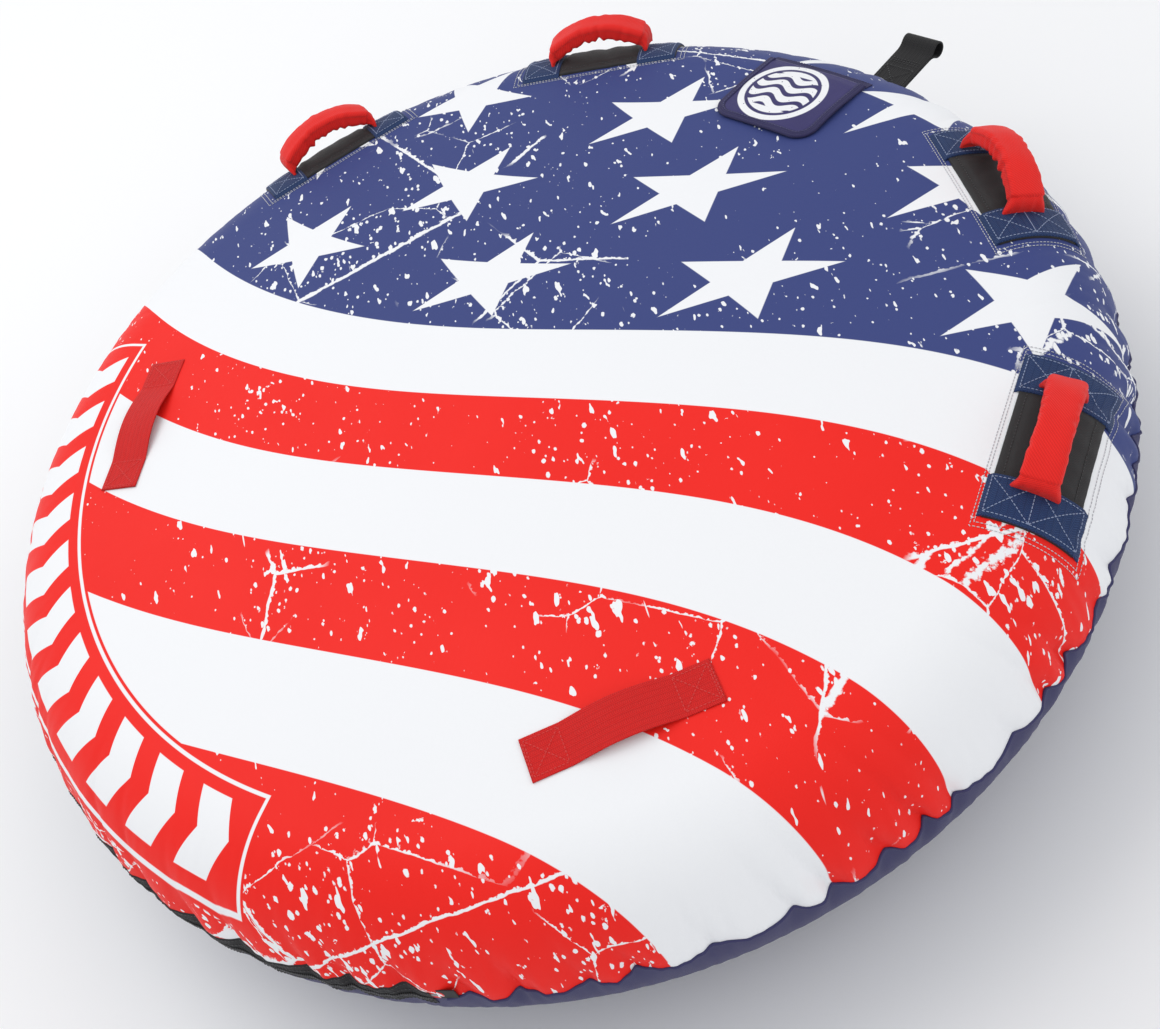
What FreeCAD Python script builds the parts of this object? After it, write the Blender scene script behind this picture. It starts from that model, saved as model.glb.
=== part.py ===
"""Towable tube: an inflated round deck tube in a zipped two-panel cover, with four padded grips,
two grab straps, a flap over the inflation valve and a webbing tow loop.

Frame, in millimetres: +Z is up, the floor is z = 0 and the origin is the centre of the flat patch
that the tube rests on. The tow loop is at -Y and the zip is at +Y, so the rider's left is +X.
Levels are heights above the outer face of the cover, measured square to it.
"""
import FreeCAD, Part
import math
import os

import Sketcher
from FreeCAD import Placement, Rotation, Vector

DRIVING_SIZES = {
    # the inflated tube
    "TubeRadius": 650.0, "SeamHeight": 200.0, "CrownRise": 142.7,
    "TopShoulder": 113.9, "BottomShoulder": 164.5, "FlatRadius": 360.0,
    # levels of the skins and of what is sewn on them
    "LevelBladderInner": -2.4, "LevelBladderOuter": -1.9, "LevelCoverInner": -1.2,
    "LevelCover": 0.0, "LevelSewn": 0.05, "LevelPatch": 0.9, "LevelTape": 0.85,
    "LevelCoil": 2.2, "LevelPad": 3.0, "LevelWeb": 4.6, "LevelAnchor": 3.4,
    # grips: the pads, the cross webs over the pads' ends, and the arch between them;
    # the widths across the sloping shoulder are plan widths
    "WebbingWidth": 50.8, "PadLength": 205.0, "PadWidth": 80.0, "WebLength": 90.0,
    "GripPlanRadius": 581.0, "FrontGripAngle": 58.7, "SideGripAngle": 20.5,
    "FrontGripTurn": 4.5, "SideGripTurn": 1.0,
    "HingeLevel": 8.0, "ArchRise": 30.0, "ArchRadius": 95.0, "ArchHalfAngle": 36.0,
    "ArchCornerRadius": 16.0, "SleeveWidth": 40.0, "SleeveDepth": 20.0, "SleeveSkin": 1.0,
    "FoamGap": 0.2, "CoreWidth": 12.0, "CoreDepth": 3.0, "CoreGap": 0.3, "SleeveRounding": 7.0,
    # grab straps
    "StrapPlanRadius": 468.0, "StrapAngle": 34.3, "StrapTurn": 2.5, "StrapLength": 194.0,
    "StrapWidth": 48.0, "StrapEnd": 43.0, "StrapGap": 14.0, "StrapDepth": 1.8, "StrapLift": 0.3,
    # inflation valve, its opening in the cover, and the flap
    "ValvePlanRadius": 505.0, "CoverOpening": 30.0, "BindingWidth": 6.0, "BladderOpening": 16.2,
    "FlangeRadius": 34.0, "BoreRadius": 11.0, "HousingRadius": 15.0, "RimRadius": 20.0,
    "HousingDepth": 26.0, "BoreDepth": 22.0, "SeatRadius": 8.0, "RimTop": 0.4, "SealTop": 1.2,
    "CapRadius": 21.0, "CapBase": 1.5, "CapTop": 4.0, "CapHingeOffset": 24.0,
    "SkirtRadius": 10.5, "SkirtWall": 2.0, "SkirtDepth": 3.5,
    "FlapWidth": 144.0, "FlapFrontReach": 60.2, "FlapTipReach": 60.0, "FlapCorner": 26.0,
    "FlapDepth": 2.5, "FlapCrown": 900.0, "FlapLift": 4.8, "FlapHingeLift": 2.5,
    "BindingDepth": 0.8, "HookWidth": 100.0, "HookReach": 18.0, "HookInset": 13.0,
    "HookDepth": 1.2, "TapeReach": 12.0,
    # tow loop
    "TowReach": 108.0, "TowPly": 2.4, "EyeRadius": 9.0, "EyeHalfAngle": 48.0, "TowGap": 6.3,
    "AnchorHeight": 76.0, "PatchWidth": 118.0, "PatchHeight": 104.0,
    # zip and seam
    "ZipHalfAngle": 32.0, "TapeWidth": 13.6, "CoilHalf": 1.35, "TapeSlit": 1.5,
    "SliderAngle": 1.85, "SliderHalfHeight": 6.0, "SliderParkAngle": 1.6, "PullLength": 30.0,
    "PullWidth": 7.0, "WeltRadius": 1.6, "StopHalf": 2.2, "StopAngle": 0.5, "EndPatchHalf": 9.0,
    "EndPatchAngle": 1.65, "PlateGap": 0.5, "PlateDepth": 1.8, "FlangeGap": 0.45, "PinStandOff": 5.2,
    "PinRadius": 0.8, "BarrelRadius": 2.1, "PullEyeRadius": 1.1, "PullDepth": 1.4, "EarLength": 1.5,
    "EarWidth": 5.0, "EarHeight": 3.2,
    # small sizes of the valve
    "FlangeDrop": 3.7, "FlangeDepth": 1.1, "RimDepth": 1.6, "DiaphragmDepth": 0.8, "TabWidth": 12.0,
    "TabReach": 5.0, "TabDrop": 0.8, "SealInset": 1.5, "EdgeGap": 0.5,
}

doc = FreeCAD.newDocument("TowableTube")
sheet = doc.addObject("Spreadsheet::Sheet", "Sheet")
for row, (alias, value) in enumerate(DRIVING_SIZES.items(), start=1):
    sheet.set(f"A{row}", alias)
    sheet.set(f"B{row}", str(value))
    sheet.setAlias(f"B{row}", alias)
doc.recompute()

nodes = []


def size(alias):
    """A driving size, read from the sheet."""
    return float(getattr(sheet, alias))


def keep(thing, label):
    """Make an object a sub-part of the tube, under the name of its file."""
    thing.Label = label
    nodes.append(thing)
    return thing


def bind(thing, **cells):
    """Bind properties to expressions on the sheet, where each word that is an alias stands for it."""
    for name, words in cells.items():
        terms = [f"Sheet.{word}" if word in DRIVING_SIZES else word for word in words.split()]
        thing.setExpression(name, " ".join(terms))


# ---------------------------------------------------------------- sketches

START, END, CENTRE = 1, 2, 3
ORIGIN = -1


def origin_plane(body, role):
    return next(plane for plane in body.Origin.OriginFeatures if plane.Role == role)


def new_body(name, role):
    """A body with one empty sketch on one of its own origin planes."""
    body = doc.addObject("PartDesign::Body", name)
    sketch = body.newObject("Sketcher::SketchObject", name + "Sketch")
    sketch.AttachmentSupport = [(origin_plane(body, role), "")]
    sketch.MapMode = "FlatFace"
    return body, sketch


def fix(sketch, kind, *where, words):
    """Add a dimension to a sketch and bind it to the sheet."""
    if kind == "Radius":
        value = sketch.Geometry[where[0]].Radius
    else:
        point = sketch.getPoint(*where)
        value = point.x if kind == "DistanceX" else point.y
    if kind != "Radius" and value < 0:
        where, value, words = (*where, ORIGIN, START), -value, words.replace("minus ", "")
    elif kind != "Radius":
        where, words = (ORIGIN, START, *where), words.replace("minus ", "")
    number = sketch.addConstraint(Sketcher.Constraint(kind, *where, value))
    bind(sketch, **{f"Constraints[{number}]": words})


def arc(centre, radius, start, stop):
    """An anticlockwise arc in a sketch, between two angles in degrees."""
    circle = Part.Circle(Vector(*centre, 0), Vector(0, 0, 1), radius)
    return Part.ArcOfCircle(circle, math.radians(start), math.radians(stop))


def line(start, stop):
    return Part.LineSegment(Vector(*start, 0), Vector(*stop, 0))


def revolve(body, sketch, axis, angle_words, midplane=False):
    turn = body.newObject("PartDesign::Revolution", body.Name + "Turn")
    turn.Profile = sketch
    turn.ReferenceAxis = (sketch, [axis])
    turn.Midplane = midplane
    turn.Angle = 360.0
    bind(turn, Angle=angle_words)
    return turn


def pad(body, sketch, length_words, midplane=False):
    slab = body.newObject("PartDesign::Pad", body.Name + "Pad")
    slab.Profile = sketch
    slab.Midplane = midplane
    bind(slab, Length=length_words)
    return slab


# ---------------------------------------------------------------- the tube's section

def crown_arc(level=0.0):
    """Radius and centre height of the deck's long arc, and the angle where the shoulder meets it."""
    reach = size("TubeRadius") - size("TopShoulder")
    rise, shoulder = size("CrownRise"), size("TopShoulder")
    radius = (rise ** 2 + reach ** 2 - shoulder ** 2) / (2 * (rise - shoulder))
    centre = size("SeamHeight") + rise - radius
    angle = math.degrees(math.atan2(size("SeamHeight") - centre, reach))
    return radius + level, centre, angle


def bilge_arc(level=0.0):
    """The same for the long arc between the flat patch and the lower shoulder."""
    reach = size("TubeRadius") - size("BottomShoulder") - size("FlatRadius")
    drop, shoulder = size("SeamHeight"), size("BottomShoulder")
    radius = (drop ** 2 + reach ** 2 - shoulder ** 2) / (2 * (drop - shoulder))
    angle = math.degrees(math.atan2(radius - drop, reach))
    return radius + level, radius, angle


def crown_outline(sketch, level):
    """One level's outline over the crown, from the seam up to the axis."""
    shoulder = (size("TubeRadius") - size("TopShoulder"), size("SeamHeight"))
    radius, centre, angle = crown_arc(size(level))
    first = sketch.GeometryCount
    sketch.addGeometry(arc(shoulder, size("TopShoulder") + size(level), 0, angle))
    sketch.addGeometry(arc((0, centre), radius, angle, 90))
    sketch.addConstraint(Sketcher.Constraint("Tangent", first, END, first + 1, START))
    fix(sketch, "DistanceX", first, CENTRE, words="TubeRadius - TopShoulder")
    fix(sketch, "DistanceY", first, CENTRE, words="SeamHeight")
    fix(sketch, "Radius", first, words=f"TopShoulder + {level}")
    fix(sketch, "DistanceY", first, START, words="SeamHeight")
    sketch.addConstraint(Sketcher.Constraint("PointOnObject", first + 1, CENTRE, -2))
    sketch.addConstraint(Sketcher.Constraint("PointOnObject", first + 1, END, -2))
    fix(sketch, "DistanceY", first + 1, END, words=f"SeamHeight + CrownRise + {level}")
    return (first, START), (first + 1, END)


def hull_outline(sketch, level):
    """One level's outline under the seam: the shoulder, the bilge and the flat patch."""
    shoulder = (size("TubeRadius") - size("BottomShoulder"), size("SeamHeight"))
    radius, centre, angle = bilge_arc(size(level))
    first = sketch.GeometryCount
    sketch.addGeometry(arc(shoulder, size("BottomShoulder") + size(level), -angle, 0))
    sketch.addGeometry(arc((size("FlatRadius"), centre), radius, -90, -angle))
    sketch.addGeometry(line((size("FlatRadius"), -size(level)), (0, -size(level))))
    sketch.addConstraint(Sketcher.Constraint("Tangent", first + 1, END, first, START))
    sketch.addConstraint(Sketcher.Constraint("Tangent", first + 2, START, first + 1, START))
    fix(sketch, "DistanceX", first, CENTRE, words="TubeRadius - BottomShoulder")
    fix(sketch, "DistanceY", first, CENTRE, words="SeamHeight")
    fix(sketch, "Radius", first, words=f"BottomShoulder + {level}")
    fix(sketch, "DistanceY", first, END, words="SeamHeight")
    fix(sketch, "DistanceX", first + 1, CENTRE, words="FlatRadius")
    sketch.addConstraint(Sketcher.Constraint("Horizontal", first + 2))
    sketch.addConstraint(Sketcher.Constraint("PointOnObject", first + 2, END, -2))
    if size(level):
        fix(sketch, "DistanceY", first + 2, END, words=f"abs( {level} )")
    else:
        sketch.addConstraint(Sketcher.Constraint("PointOnObject", first + 2, END, -1))
    return (first, END), (first + 2, END)


def layer(name, outline, inner, outer):
    """A shell all the way round between two levels, over the crown or under the seam."""
    body, sketch = new_body(name, "XZ_Plane")
    ends = [outline(sketch, inner), outline(sketch, outer)]
    for place in range(2):
        (low, low_end), (high, high_end) = ends[0][place], ends[1][place]
        sides = [sketch.getPoint(low, low_end), sketch.getPoint(high, high_end)]
        closing = sketch.addGeometry(Part.LineSegment(*sides))
        sketch.addConstraint(Sketcher.Constraint("Coincident", closing, START, low, low_end))
        sketch.addConstraint(Sketcher.Constraint("Coincident", closing, END, high, high_end))
    revolve(body, sketch, "V_Axis", "360")
    return body


def cover_height(radius):
    """Height of the cover's upper face at a distance from the axis, and how far its normal leans out."""
    long_radius, centre, angle = crown_arc()
    reach = size("TubeRadius") - size("TopShoulder")
    meeting = long_radius * math.cos(math.radians(angle))
    if radius < meeting:
        return centre + math.sqrt(long_radius ** 2 - radius ** 2), math.asin(radius / long_radius)
    side = radius - reach
    height = size("SeamHeight") + math.sqrt(size("TopShoulder") ** 2 - side ** 2)
    return height, math.asin(side / size("TopShoulder"))


# ---------------------------------------------------------------- solids on the sheet

def boolean(kind, name, base, tool):
    result = doc.addObject("Part::" + kind, name)
    result.Base = base
    result.Tool = tool
    return result


def group(kind, name, members):
    """A fused solid, or a compound of separate ones."""
    result = doc.addObject("Part::" + kind, name)
    if kind == "Compound":
        result.Links = members
    else:
        result.Shapes = members
    return result


def block(name, placement, **cells):
    """A box whose three sizes are bound to the sheet, centred on its placement in X and Y."""
    solid = doc.addObject("Part::Box", name)
    bind(solid, **cells)
    doc.recompute()
    middle = Vector(-solid.Length.Value / 2, -solid.Width.Value / 2, 0)
    solid.Placement = placement.multiply(Placement(middle, Rotation()))
    return solid


def disc(name, placement, base, **cells):
    """A cylinder bound to the sheet that starts at a height in its placement's own frame."""
    solid = doc.addObject("Part::Cylinder", name)
    bind(solid, **cells)
    solid.Placement = placement.multiply(Placement(Vector(0, 0, base), Rotation()))
    return solid


def sector(name, base, start_angle, **cells):
    """A cylinder slice about the tube's axis; its Angle, Radius and Height are bound to the sheet."""
    solid = doc.addObject("Part::Cylinder", name)
    bind(solid, **cells)
    solid.Placement = Placement(Vector(0, 0, base), Rotation(Vector(0, 0, 1), start_angle))
    return solid


def plumb(radius, angle, turn):
    """An upright frame over a point of the deck: its X runs along the piece and its -Y points outward."""
    where = math.radians(angle)
    at = Vector(radius * math.cos(where), radius * math.sin(where), 0)
    return Placement(at, Rotation(Vector(0, 0, 1), angle + turn + 90))


def on_deck(radius, angle, turn, level, lean=0.0):
    """A frame at a level over the deck whose Z is the cover's normal, leaned further out by lean."""
    height, normal = cover_height(radius)
    upright = plumb(radius, angle, turn)
    outward = upright.Rotation.multVec(Vector(0, -1, 0))
    offset = outward * (level * math.sin(normal)) + Vector(0, 0, height + level * math.cos(normal))
    tilt = Rotation(upright.Rotation.multVec(Vector(1, 0, 0)), math.degrees(normal) + lean)
    return Placement(upright.Base + offset, tilt.multiply(upright.Rotation))


# ---------------------------------------------------------------- cover, bladder and seam

VALVE = on_deck(size("ValvePlanRadius"), -90, 0, 0)
# the same place with X to the rider's left, so that -Y is forward
VALVE.Rotation = Rotation(Vector(1, 0, 0), math.degrees(cover_height(size("ValvePlanRadius"))[1]))


def make_skins():
    top = layer("CoverTop", crown_outline, "LevelCoverInner", "LevelCover")
    opening = disc("CoverOpeningTool", VALVE, -20, Radius="CoverOpening", Height="40")
    keep(boolean("Cut", "CoverTopCut", top, opening), "cover_top_panel")
    keep(layer("CoverBottom", hull_outline, "LevelCoverInner", "LevelCover"), "cover_bottom_panel")
    upper = layer("BladderTop", crown_outline, "LevelBladderInner", "LevelBladderOuter")
    hole = disc("BladderOpeningTool", VALVE, -20, Radius="BladderOpening", Height="40")
    keep(boolean("Cut", "BladderTopCut", upper, hole), "bladder_upper_sheet")
    keep(layer("BladderBottom", hull_outline, "LevelBladderInner", "LevelBladderOuter"),
         "bladder_lower_sheet")


def make_welt():
    """The folded seam allowance that stands out all round, except along the zip."""
    welt = doc.addObject("Part::Torus", "Welt")
    bind(welt, Radius1="TubeRadius + LevelSewn + WeltRadius", Radius2="WeltRadius",
         Angle3="360 - 2 * ZipHalfAngle - 5")
    start = 90 + size("ZipHalfAngle") + 2.5
    welt.Placement = Placement(Vector(0, 0, size("SeamHeight")), Rotation(Vector(0, 0, 1), start))
    keep(welt, "seam_welt")


# ---------------------------------------------------------------- zip

def make_zip(crown, hull, crown_coil, hull_coil):
    first = 90 - size("ZipHalfAngle")
    seam = size("SeamHeight")
    slit, coil, tape = size("TapeSlit"), size("CoilHalf"), size("TapeWidth")
    halves = (("upper", crown, crown_coil, seam + slit, seam + 0.05),
              ("lower", hull, hull_coil, seam - slit - tape, seam - coil))
    for side, tape_layer, coil_layer, tape_base, coil_base in halves:
        band = sector("TapeBand" + side, tape_base, first,
                      Radius="TubeRadius + 50", Height="TapeWidth", Angle="2 * ZipHalfAngle")
        keep(boolean("Common", "Tape" + side, tape_layer, band), "zip_tape_" + side)
        row = sector("CoilBand" + side, coil_base, first,
                     Radius="TubeRadius + 50", Height="CoilHalf - 0.05", Angle="2 * ZipHalfAngle")
        keep(boolean("Common", "Coil" + side, coil_layer, row), "zip_coil_" + side)


def ring_sector(name, base, start_angle, inner_words, outer_words, height_words, angle_words):
    outer = sector(name + "Outer", base, start_angle,
                   Radius=outer_words, Height=height_words, Angle=angle_words)
    inner = sector(name + "Inner", base - 1, start_angle - 1,
                   Radius=inner_words, Height=height_words + " + 2", Angle=angle_words + " + 2")
    return boolean("Cut", name, outer, inner)


def make_zip_ends():
    """Metal stops at both ends of the coil, and the reinforcing patches beyond them."""
    seam, half = size("SeamHeight"), size("ZipHalfAngle")
    stops, patches = [], []
    for side, stop_at, patch_at in (("Left", 90 - half - 0.55, 90 - half - 2.3),
                                    ("Right", 90 + half + 0.05, 90 + half + 0.65)):
        stops.append(ring_sector("Stop" + side, seam - size("StopHalf"), stop_at, "TubeRadius + LevelSewn",
                                 "TubeRadius + LevelCoil", "2 * StopHalf", "StopAngle"))
        patches.append(ring_sector("Patch" + side, seam - size("EndPatchHalf"), patch_at,
                                   "TubeRadius + LevelSewn", "TubeRadius + LevelPatch + 0.3",
                                   "2 * EndPatchHalf", "EndPatchAngle"))
    keep(group("Compound", "ZipStops", stops), "zip_stops")
    keep(group("Compound", "ZipEndPatches", patches), "zip_end_patches")


def make_slider():
    """The slider rides over the coil, with a pin for the pull that hangs from it."""
    seam, start = size("SeamHeight"), 90 - size("ZipHalfAngle") + size("SliderParkAngle")
    plate = ring_sector("SliderPlate", seam - size("SliderHalfHeight"), start,
                        "TubeRadius + LevelCoil + PlateGap",
                        "TubeRadius + LevelCoil + PlateGap + PlateDepth",
                        "2 * SliderHalfHeight", "SliderAngle")
    parts = [plate]
    reach = size("CoilHalf") + size("FlangeGap")
    for side, base in (("High", seam + reach), ("Low", seam - size("SliderHalfHeight"))):
        parts.append(ring_sector("SliderFlange" + side, base, start, "TubeRadius + LevelTape + FlangeGap",
                                 "TubeRadius + LevelCoil + PlateGap + 0.1",
                                 "SliderHalfHeight - CoilHalf - FlangeGap",
                                 "SliderAngle"))
    middle = math.radians(start + size("SliderAngle") / 2)
    hinge = size("TubeRadius") + size("LevelCoil") + size("PinStandOff")
    at = Vector(hinge * math.cos(middle), hinge * math.sin(middle), seam + 1.5)
    frame = Placement(at, Rotation(Vector(0, 0, 1), math.degrees(middle) + 90))
    pin_turn = Rotation(Vector(0, 1, 0), 90)
    pin = doc.addObject("Part::Cylinder", "PullPin")
    bind(pin, Radius="PinRadius", Height="PullWidth + 4")
    pin.Placement = frame.multiply(Placement(Vector(-size("PullWidth") / 2 - 2, 0, 0), pin_turn))
    parts.append(pin)
    for side in (-1, 1):
        ear = doc.addObject("Part::Box", "PullEar" + ("Left" if side < 0 else "Right"))
        bind(ear, Length="EarLength", Width="EarWidth", Height="EarHeight")
        low = side * (size("PullWidth") / 2 + 1.15) - size("EarLength") / 2
        ear.Placement = frame.multiply(Placement(Vector(low, -1.4, -size("EarHeight") / 2), Rotation()))
        parts.append(ear)
    keep(group("MultiFuse", "Slider", parts), "zip_slider_body")

    barrel = doc.addObject("Part::Cylinder", "PullBarrel")
    bind(barrel, Radius="BarrelRadius", Height="PullWidth")
    eye = doc.addObject("Part::Cylinder", "PullEye")
    bind(eye, Radius="PullEyeRadius", Height="PullWidth + 2")
    barrel.Placement = frame.multiply(Placement(Vector(-size("PullWidth") / 2, 0, 0), pin_turn))
    eye.Placement = frame.multiply(Placement(Vector(-size("PullWidth") / 2 - 1, 0, 0), pin_turn))
    tab = doc.addObject("Part::Box", "PullTabPlate")
    bind(tab, Length="PullWidth", Width="PullDepth", Height="PullLength")
    low = Vector(-size("PullWidth") / 2, -size("PullDepth") / 2,
                 -size("EarHeight") / 2 - size("PullLength"))
    tab.Placement = frame.multiply(Placement(low, Rotation()))
    whole = group("MultiFuse", "PullWhole", [barrel, tab])
    keep(boolean("Cut", "PullTab", whole, eye), "zip_pull_tab")


# ---------------------------------------------------------------- inflation valve

def tube_piece(name, base, outer_words, inner_words, height_words):
    """A ring in the valve's frame."""
    outer = disc(name + "Outer", VALVE, base, Radius=outer_words, Height=height_words)
    inner = disc(name + "Inner", VALVE, base - 1, Radius=inner_words, Height=height_words + " + 2")
    return boolean("Cut", name, outer, inner)


def make_valve(crown_patch):
    depth = size("HousingDepth")
    keep(tube_piece("Flange", -size("FlangeDrop"), "FlangeRadius", "HousingRadius + 0.1",
                    "FlangeDepth"), "valve_flange")
    barrel = disc("HousingBarrel", VALVE, -depth, Radius="HousingRadius", Height="HousingDepth + RimTop")
    rim = disc("HousingRim", VALVE, -size("RimDepth"), Radius="RimRadius", Height="RimDepth + RimTop")
    bore = disc("HousingBore", VALVE, -size("BoreDepth"), Radius="BoreRadius", Height="BoreDepth + 4")
    seat = disc("HousingSeat", VALVE, -depth - 1, Radius="SeatRadius", Height="HousingDepth")
    outside = group("MultiFuse", "HousingOutside", [barrel, rim])
    inside = group("MultiFuse", "HousingInside", [bore, seat])
    keep(boolean("Cut", "Housing", outside, inside), "valve_housing")
    keep(disc("Diaphragm", VALVE, -depth + 1, Radius="SeatRadius - 0.05", Height="DiaphragmDepth"),
         "valve_diaphragm")
    keep(tube_piece("Seal", size("RimTop"), "RimRadius - SealInset", "HousingRadius", "SealTop - RimTop"),
         "valve_seal_ring")
    lid = disc("CapLid", VALVE, size("CapBase"), Radius="CapRadius", Height="CapTop - CapBase")
    tab_frame = VALVE.multiply(Placement(Vector(0, -size("CapRadius"), size("CapBase")), Rotation()))
    tab = block("CapTab", tab_frame, Length="TabWidth", Width="TabReach",
                Height="CapTop - CapBase - TabDrop")
    skirt = tube_piece("CapSkirt", size("CapBase") - size("SkirtDepth"), "SkirtRadius",
                       "SkirtRadius - SkirtWall", "SkirtDepth")
    keep(group("MultiFuse", "Cap", [lid, tab, skirt]), "valve_cap")

    outer = disc("BindingOuter", VALVE, -20, Radius="CoverOpening + BindingWidth", Height="40")
    inner = disc("BindingInner", VALVE, -21, Radius="CoverOpening - EdgeGap", Height="42")
    ring = boolean("Cut", "BindingRing", outer, inner)
    keep(boolean("Common", "OpeningBinding", crown_patch, ring), "valve_opening_binding")


# ---------------------------------------------------------------- flap

def flap_plan(name, inset):
    """Plan of the flap, square at its hinge and rounded at its tip, inset on its three free sides."""
    half = size("FlapWidth") / 2 - inset
    front, tip = -size("FlapFrontReach"), size("FlapTipReach") - inset
    corner = size("FlapCorner") - inset
    body, sketch = new_body(name, "XY_Plane")
    sketch.addGeometry(line((-half, front), (half, front)))
    sketch.addGeometry(line((half, front), (half, tip - corner)))
    sketch.addGeometry(arc((half - corner, tip - corner), corner, 0, 90))
    sketch.addGeometry(line((half - corner, tip), (corner - half, tip)))
    sketch.addGeometry(arc((corner - half, tip - corner), corner, 90, 180))
    sketch.addGeometry(line((-half, tip - corner), (-half, front)))
    for edge in range(6):
        if edge in (0, 5):
            sketch.addConstraint(Sketcher.Constraint("Coincident", edge, END, (edge + 1) % 6, START))
        else:
            sketch.addConstraint(Sketcher.Constraint("Tangent", edge, END, edge + 1, START))
    sketch.addConstraint(Sketcher.Constraint("Horizontal", 0))
    sketch.addConstraint(Sketcher.Constraint("Vertical", 1))
    sketch.addConstraint(Sketcher.Constraint("Vertical", 5))
    sketch.addConstraint(Sketcher.Constraint("Equal", 2, 4))
    fix(sketch, "DistanceX", 0, START, words=f"FlapWidth / 2 - {inset}")
    fix(sketch, "DistanceX", 0, END, words=f"FlapWidth / 2 - {inset}")
    fix(sketch, "DistanceY", 0, START, words="FlapFrontReach")
    fix(sketch, "DistanceY", 3, START, words=f"FlapTipReach - {inset}")
    fix(sketch, "Radius", 2, words=f"FlapCorner - {inset}")
    pad(body, sketch, "60", midplane=True)
    body.Placement = VALVE
    return body


def dome(name, low_words, high_words):
    """A bulged shell over the valve between two spheres about one centre."""
    centre = VALVE.multiply(Placement(Vector(0, 0, size("FlapLift") - size("FlapCrown")), Rotation()))
    balls = []
    for part, words in (("High", high_words), ("Low", low_words)):
        ball = doc.addObject("Part::Sphere", name + part)
        bind(ball, Radius=words, Angle1="60", Angle2="90")
        ball.Placement = centre
        balls.append(ball)
    return boolean("Cut", name, *balls)


def make_flap(crown_patch):
    cloth = dome("FlapDome", "FlapCrown", "FlapCrown + FlapDepth")
    keep(boolean("Common", "Flap", cloth, flap_plan("FlapPlan", 0)), "valve_flap_panel")
    edge = dome("BindingDome", "FlapCrown + FlapDepth", "FlapCrown + FlapDepth + BindingDepth")
    rim = boolean("Cut", "FlapRim", flap_plan("FlapRimPlan", 0), flap_plan("FlapFieldPlan", 8))
    keep(boolean("Common", "FlapBinding", edge, rim), "valve_flap_binding")
    hooks = dome("HookDome", "FlapCrown - HookDepth", "FlapCrown")
    strip_y = size("FlapTipReach") - size("HookInset")
    strip_at = VALVE.multiply(Placement(Vector(0, strip_y, -30), Rotation()))
    strip = block("HookPlan", strip_at, Length="HookWidth", Width="HookReach", Height="60")
    keep(boolean("Common", "HookPatch", hooks, strip), "flap_hook_patch")

    loops = block("LoopPlan", strip_at, Length="HookWidth", Width="HookReach", Height="60")
    keep(boolean("Common", "LoopPatch", crown_patch, loops), "flap_loop_patch")
    tape_y = -size("ValvePlanRadius") - size("FlapFrontReach") - size("TapeReach") / 2 - 0.8
    tape = block("HingeTapePlan", Placement(Vector(0, tape_y, 250), Rotation()),
                 Length="FlapWidth", Width="TapeReach", Height="120")
    keep(boolean("Common", "HingeTape", crown_patch, tape), "flap_hinge_tape")


# ---------------------------------------------------------------- grips

def rounded_rectangle(sketch, middle, wide, deep, rounding, words):
    """A rounded rectangle about (0, middle): its width, depth and rounding are bound by words."""
    first = sketch.GeometryCount
    half, low, high = wide / 2, middle - deep / 2, middle + deep / 2
    corners = ((half - rounding, high - rounding, 0), (rounding - half, high - rounding, 90),
               (rounding - half, low + rounding, 180), (half - rounding, low + rounding, 270))
    lines = (((half, low + rounding), (half, high - rounding)),
             ((half - rounding, high), (rounding - half, high)),
             ((-half, high - rounding), (-half, low + rounding)),
             ((rounding - half, low), (half - rounding, low)))
    for (start, stop), (x, y, angle) in zip(lines, corners):
        sketch.addGeometry(line(start, stop))
        sketch.addGeometry(arc((x, y), rounding, angle, angle + 90))
    for edge in range(8):
        follower = first + (edge + 1) % 8
        sketch.addConstraint(Sketcher.Constraint("Tangent", first + edge, END, follower, START))
    sketch.addConstraint(Sketcher.Constraint("Vertical", first))
    sketch.addConstraint(Sketcher.Constraint("Horizontal", first + 2))
    for edge in (3, 5, 7):
        sketch.addConstraint(Sketcher.Constraint("Equal", first + 1, first + edge))
    fix(sketch, "DistanceX", first, START, words=words["half"])
    fix(sketch, "DistanceX", first + 4, START, words=words["half"])
    fix(sketch, "DistanceY", first + 2, START, words=words["high"])
    fix(sketch, "DistanceY", first + 6, START, words=words["low"])
    fix(sketch, "Radius", first + 1, words=words["rounding"])


def arch_body(name, outer, inner):
    """A hollow bar bent round the arch's long arc, in a frame whose origin is that arc's centre."""
    body, sketch = new_body(name, "YZ_Plane")
    for wide, deep, rounding, words in (outer, inner):
        rounded_rectangle(sketch, size("ArchRadius"), wide, deep, rounding, words)
    revolve(body, sketch, "H_Axis", "2 * ArchHalfAngle", midplane=True)
    return body


def section_words(shrink):
    """Words for a rounded rectangle that is smaller than the sleeve by shrink on every side."""
    half = f"SleeveWidth / 2 {shrink}"
    return {"half": half, "high": f"ArchRadius + SleeveDepth / 2 {shrink}",
            "low": f"ArchRadius - ( SleeveDepth / 2 {shrink} )", "rounding": f"SleeveRounding {shrink}"}


def sleeve_section(shrink, words):
    wide, deep = size("SleeveWidth") - 2 * shrink, size("SleeveDepth") - 2 * shrink
    return wide, deep, size("SleeveRounding") - shrink, section_words(words)


def slot_section():
    """The slot in the foam that the core webbing runs through."""
    wide, deep = size("CoreWidth") + 2 * size("CoreGap"), size("CoreDepth") + 2 * size("CoreGap")
    words = {"half": "CoreWidth / 2 + CoreGap", "high": "ArchRadius + CoreDepth / 2 + CoreGap",
             "low": "ArchRadius - CoreDepth / 2 - CoreGap", "rounding": "1"}
    return wide, deep, 1.0, words


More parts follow.
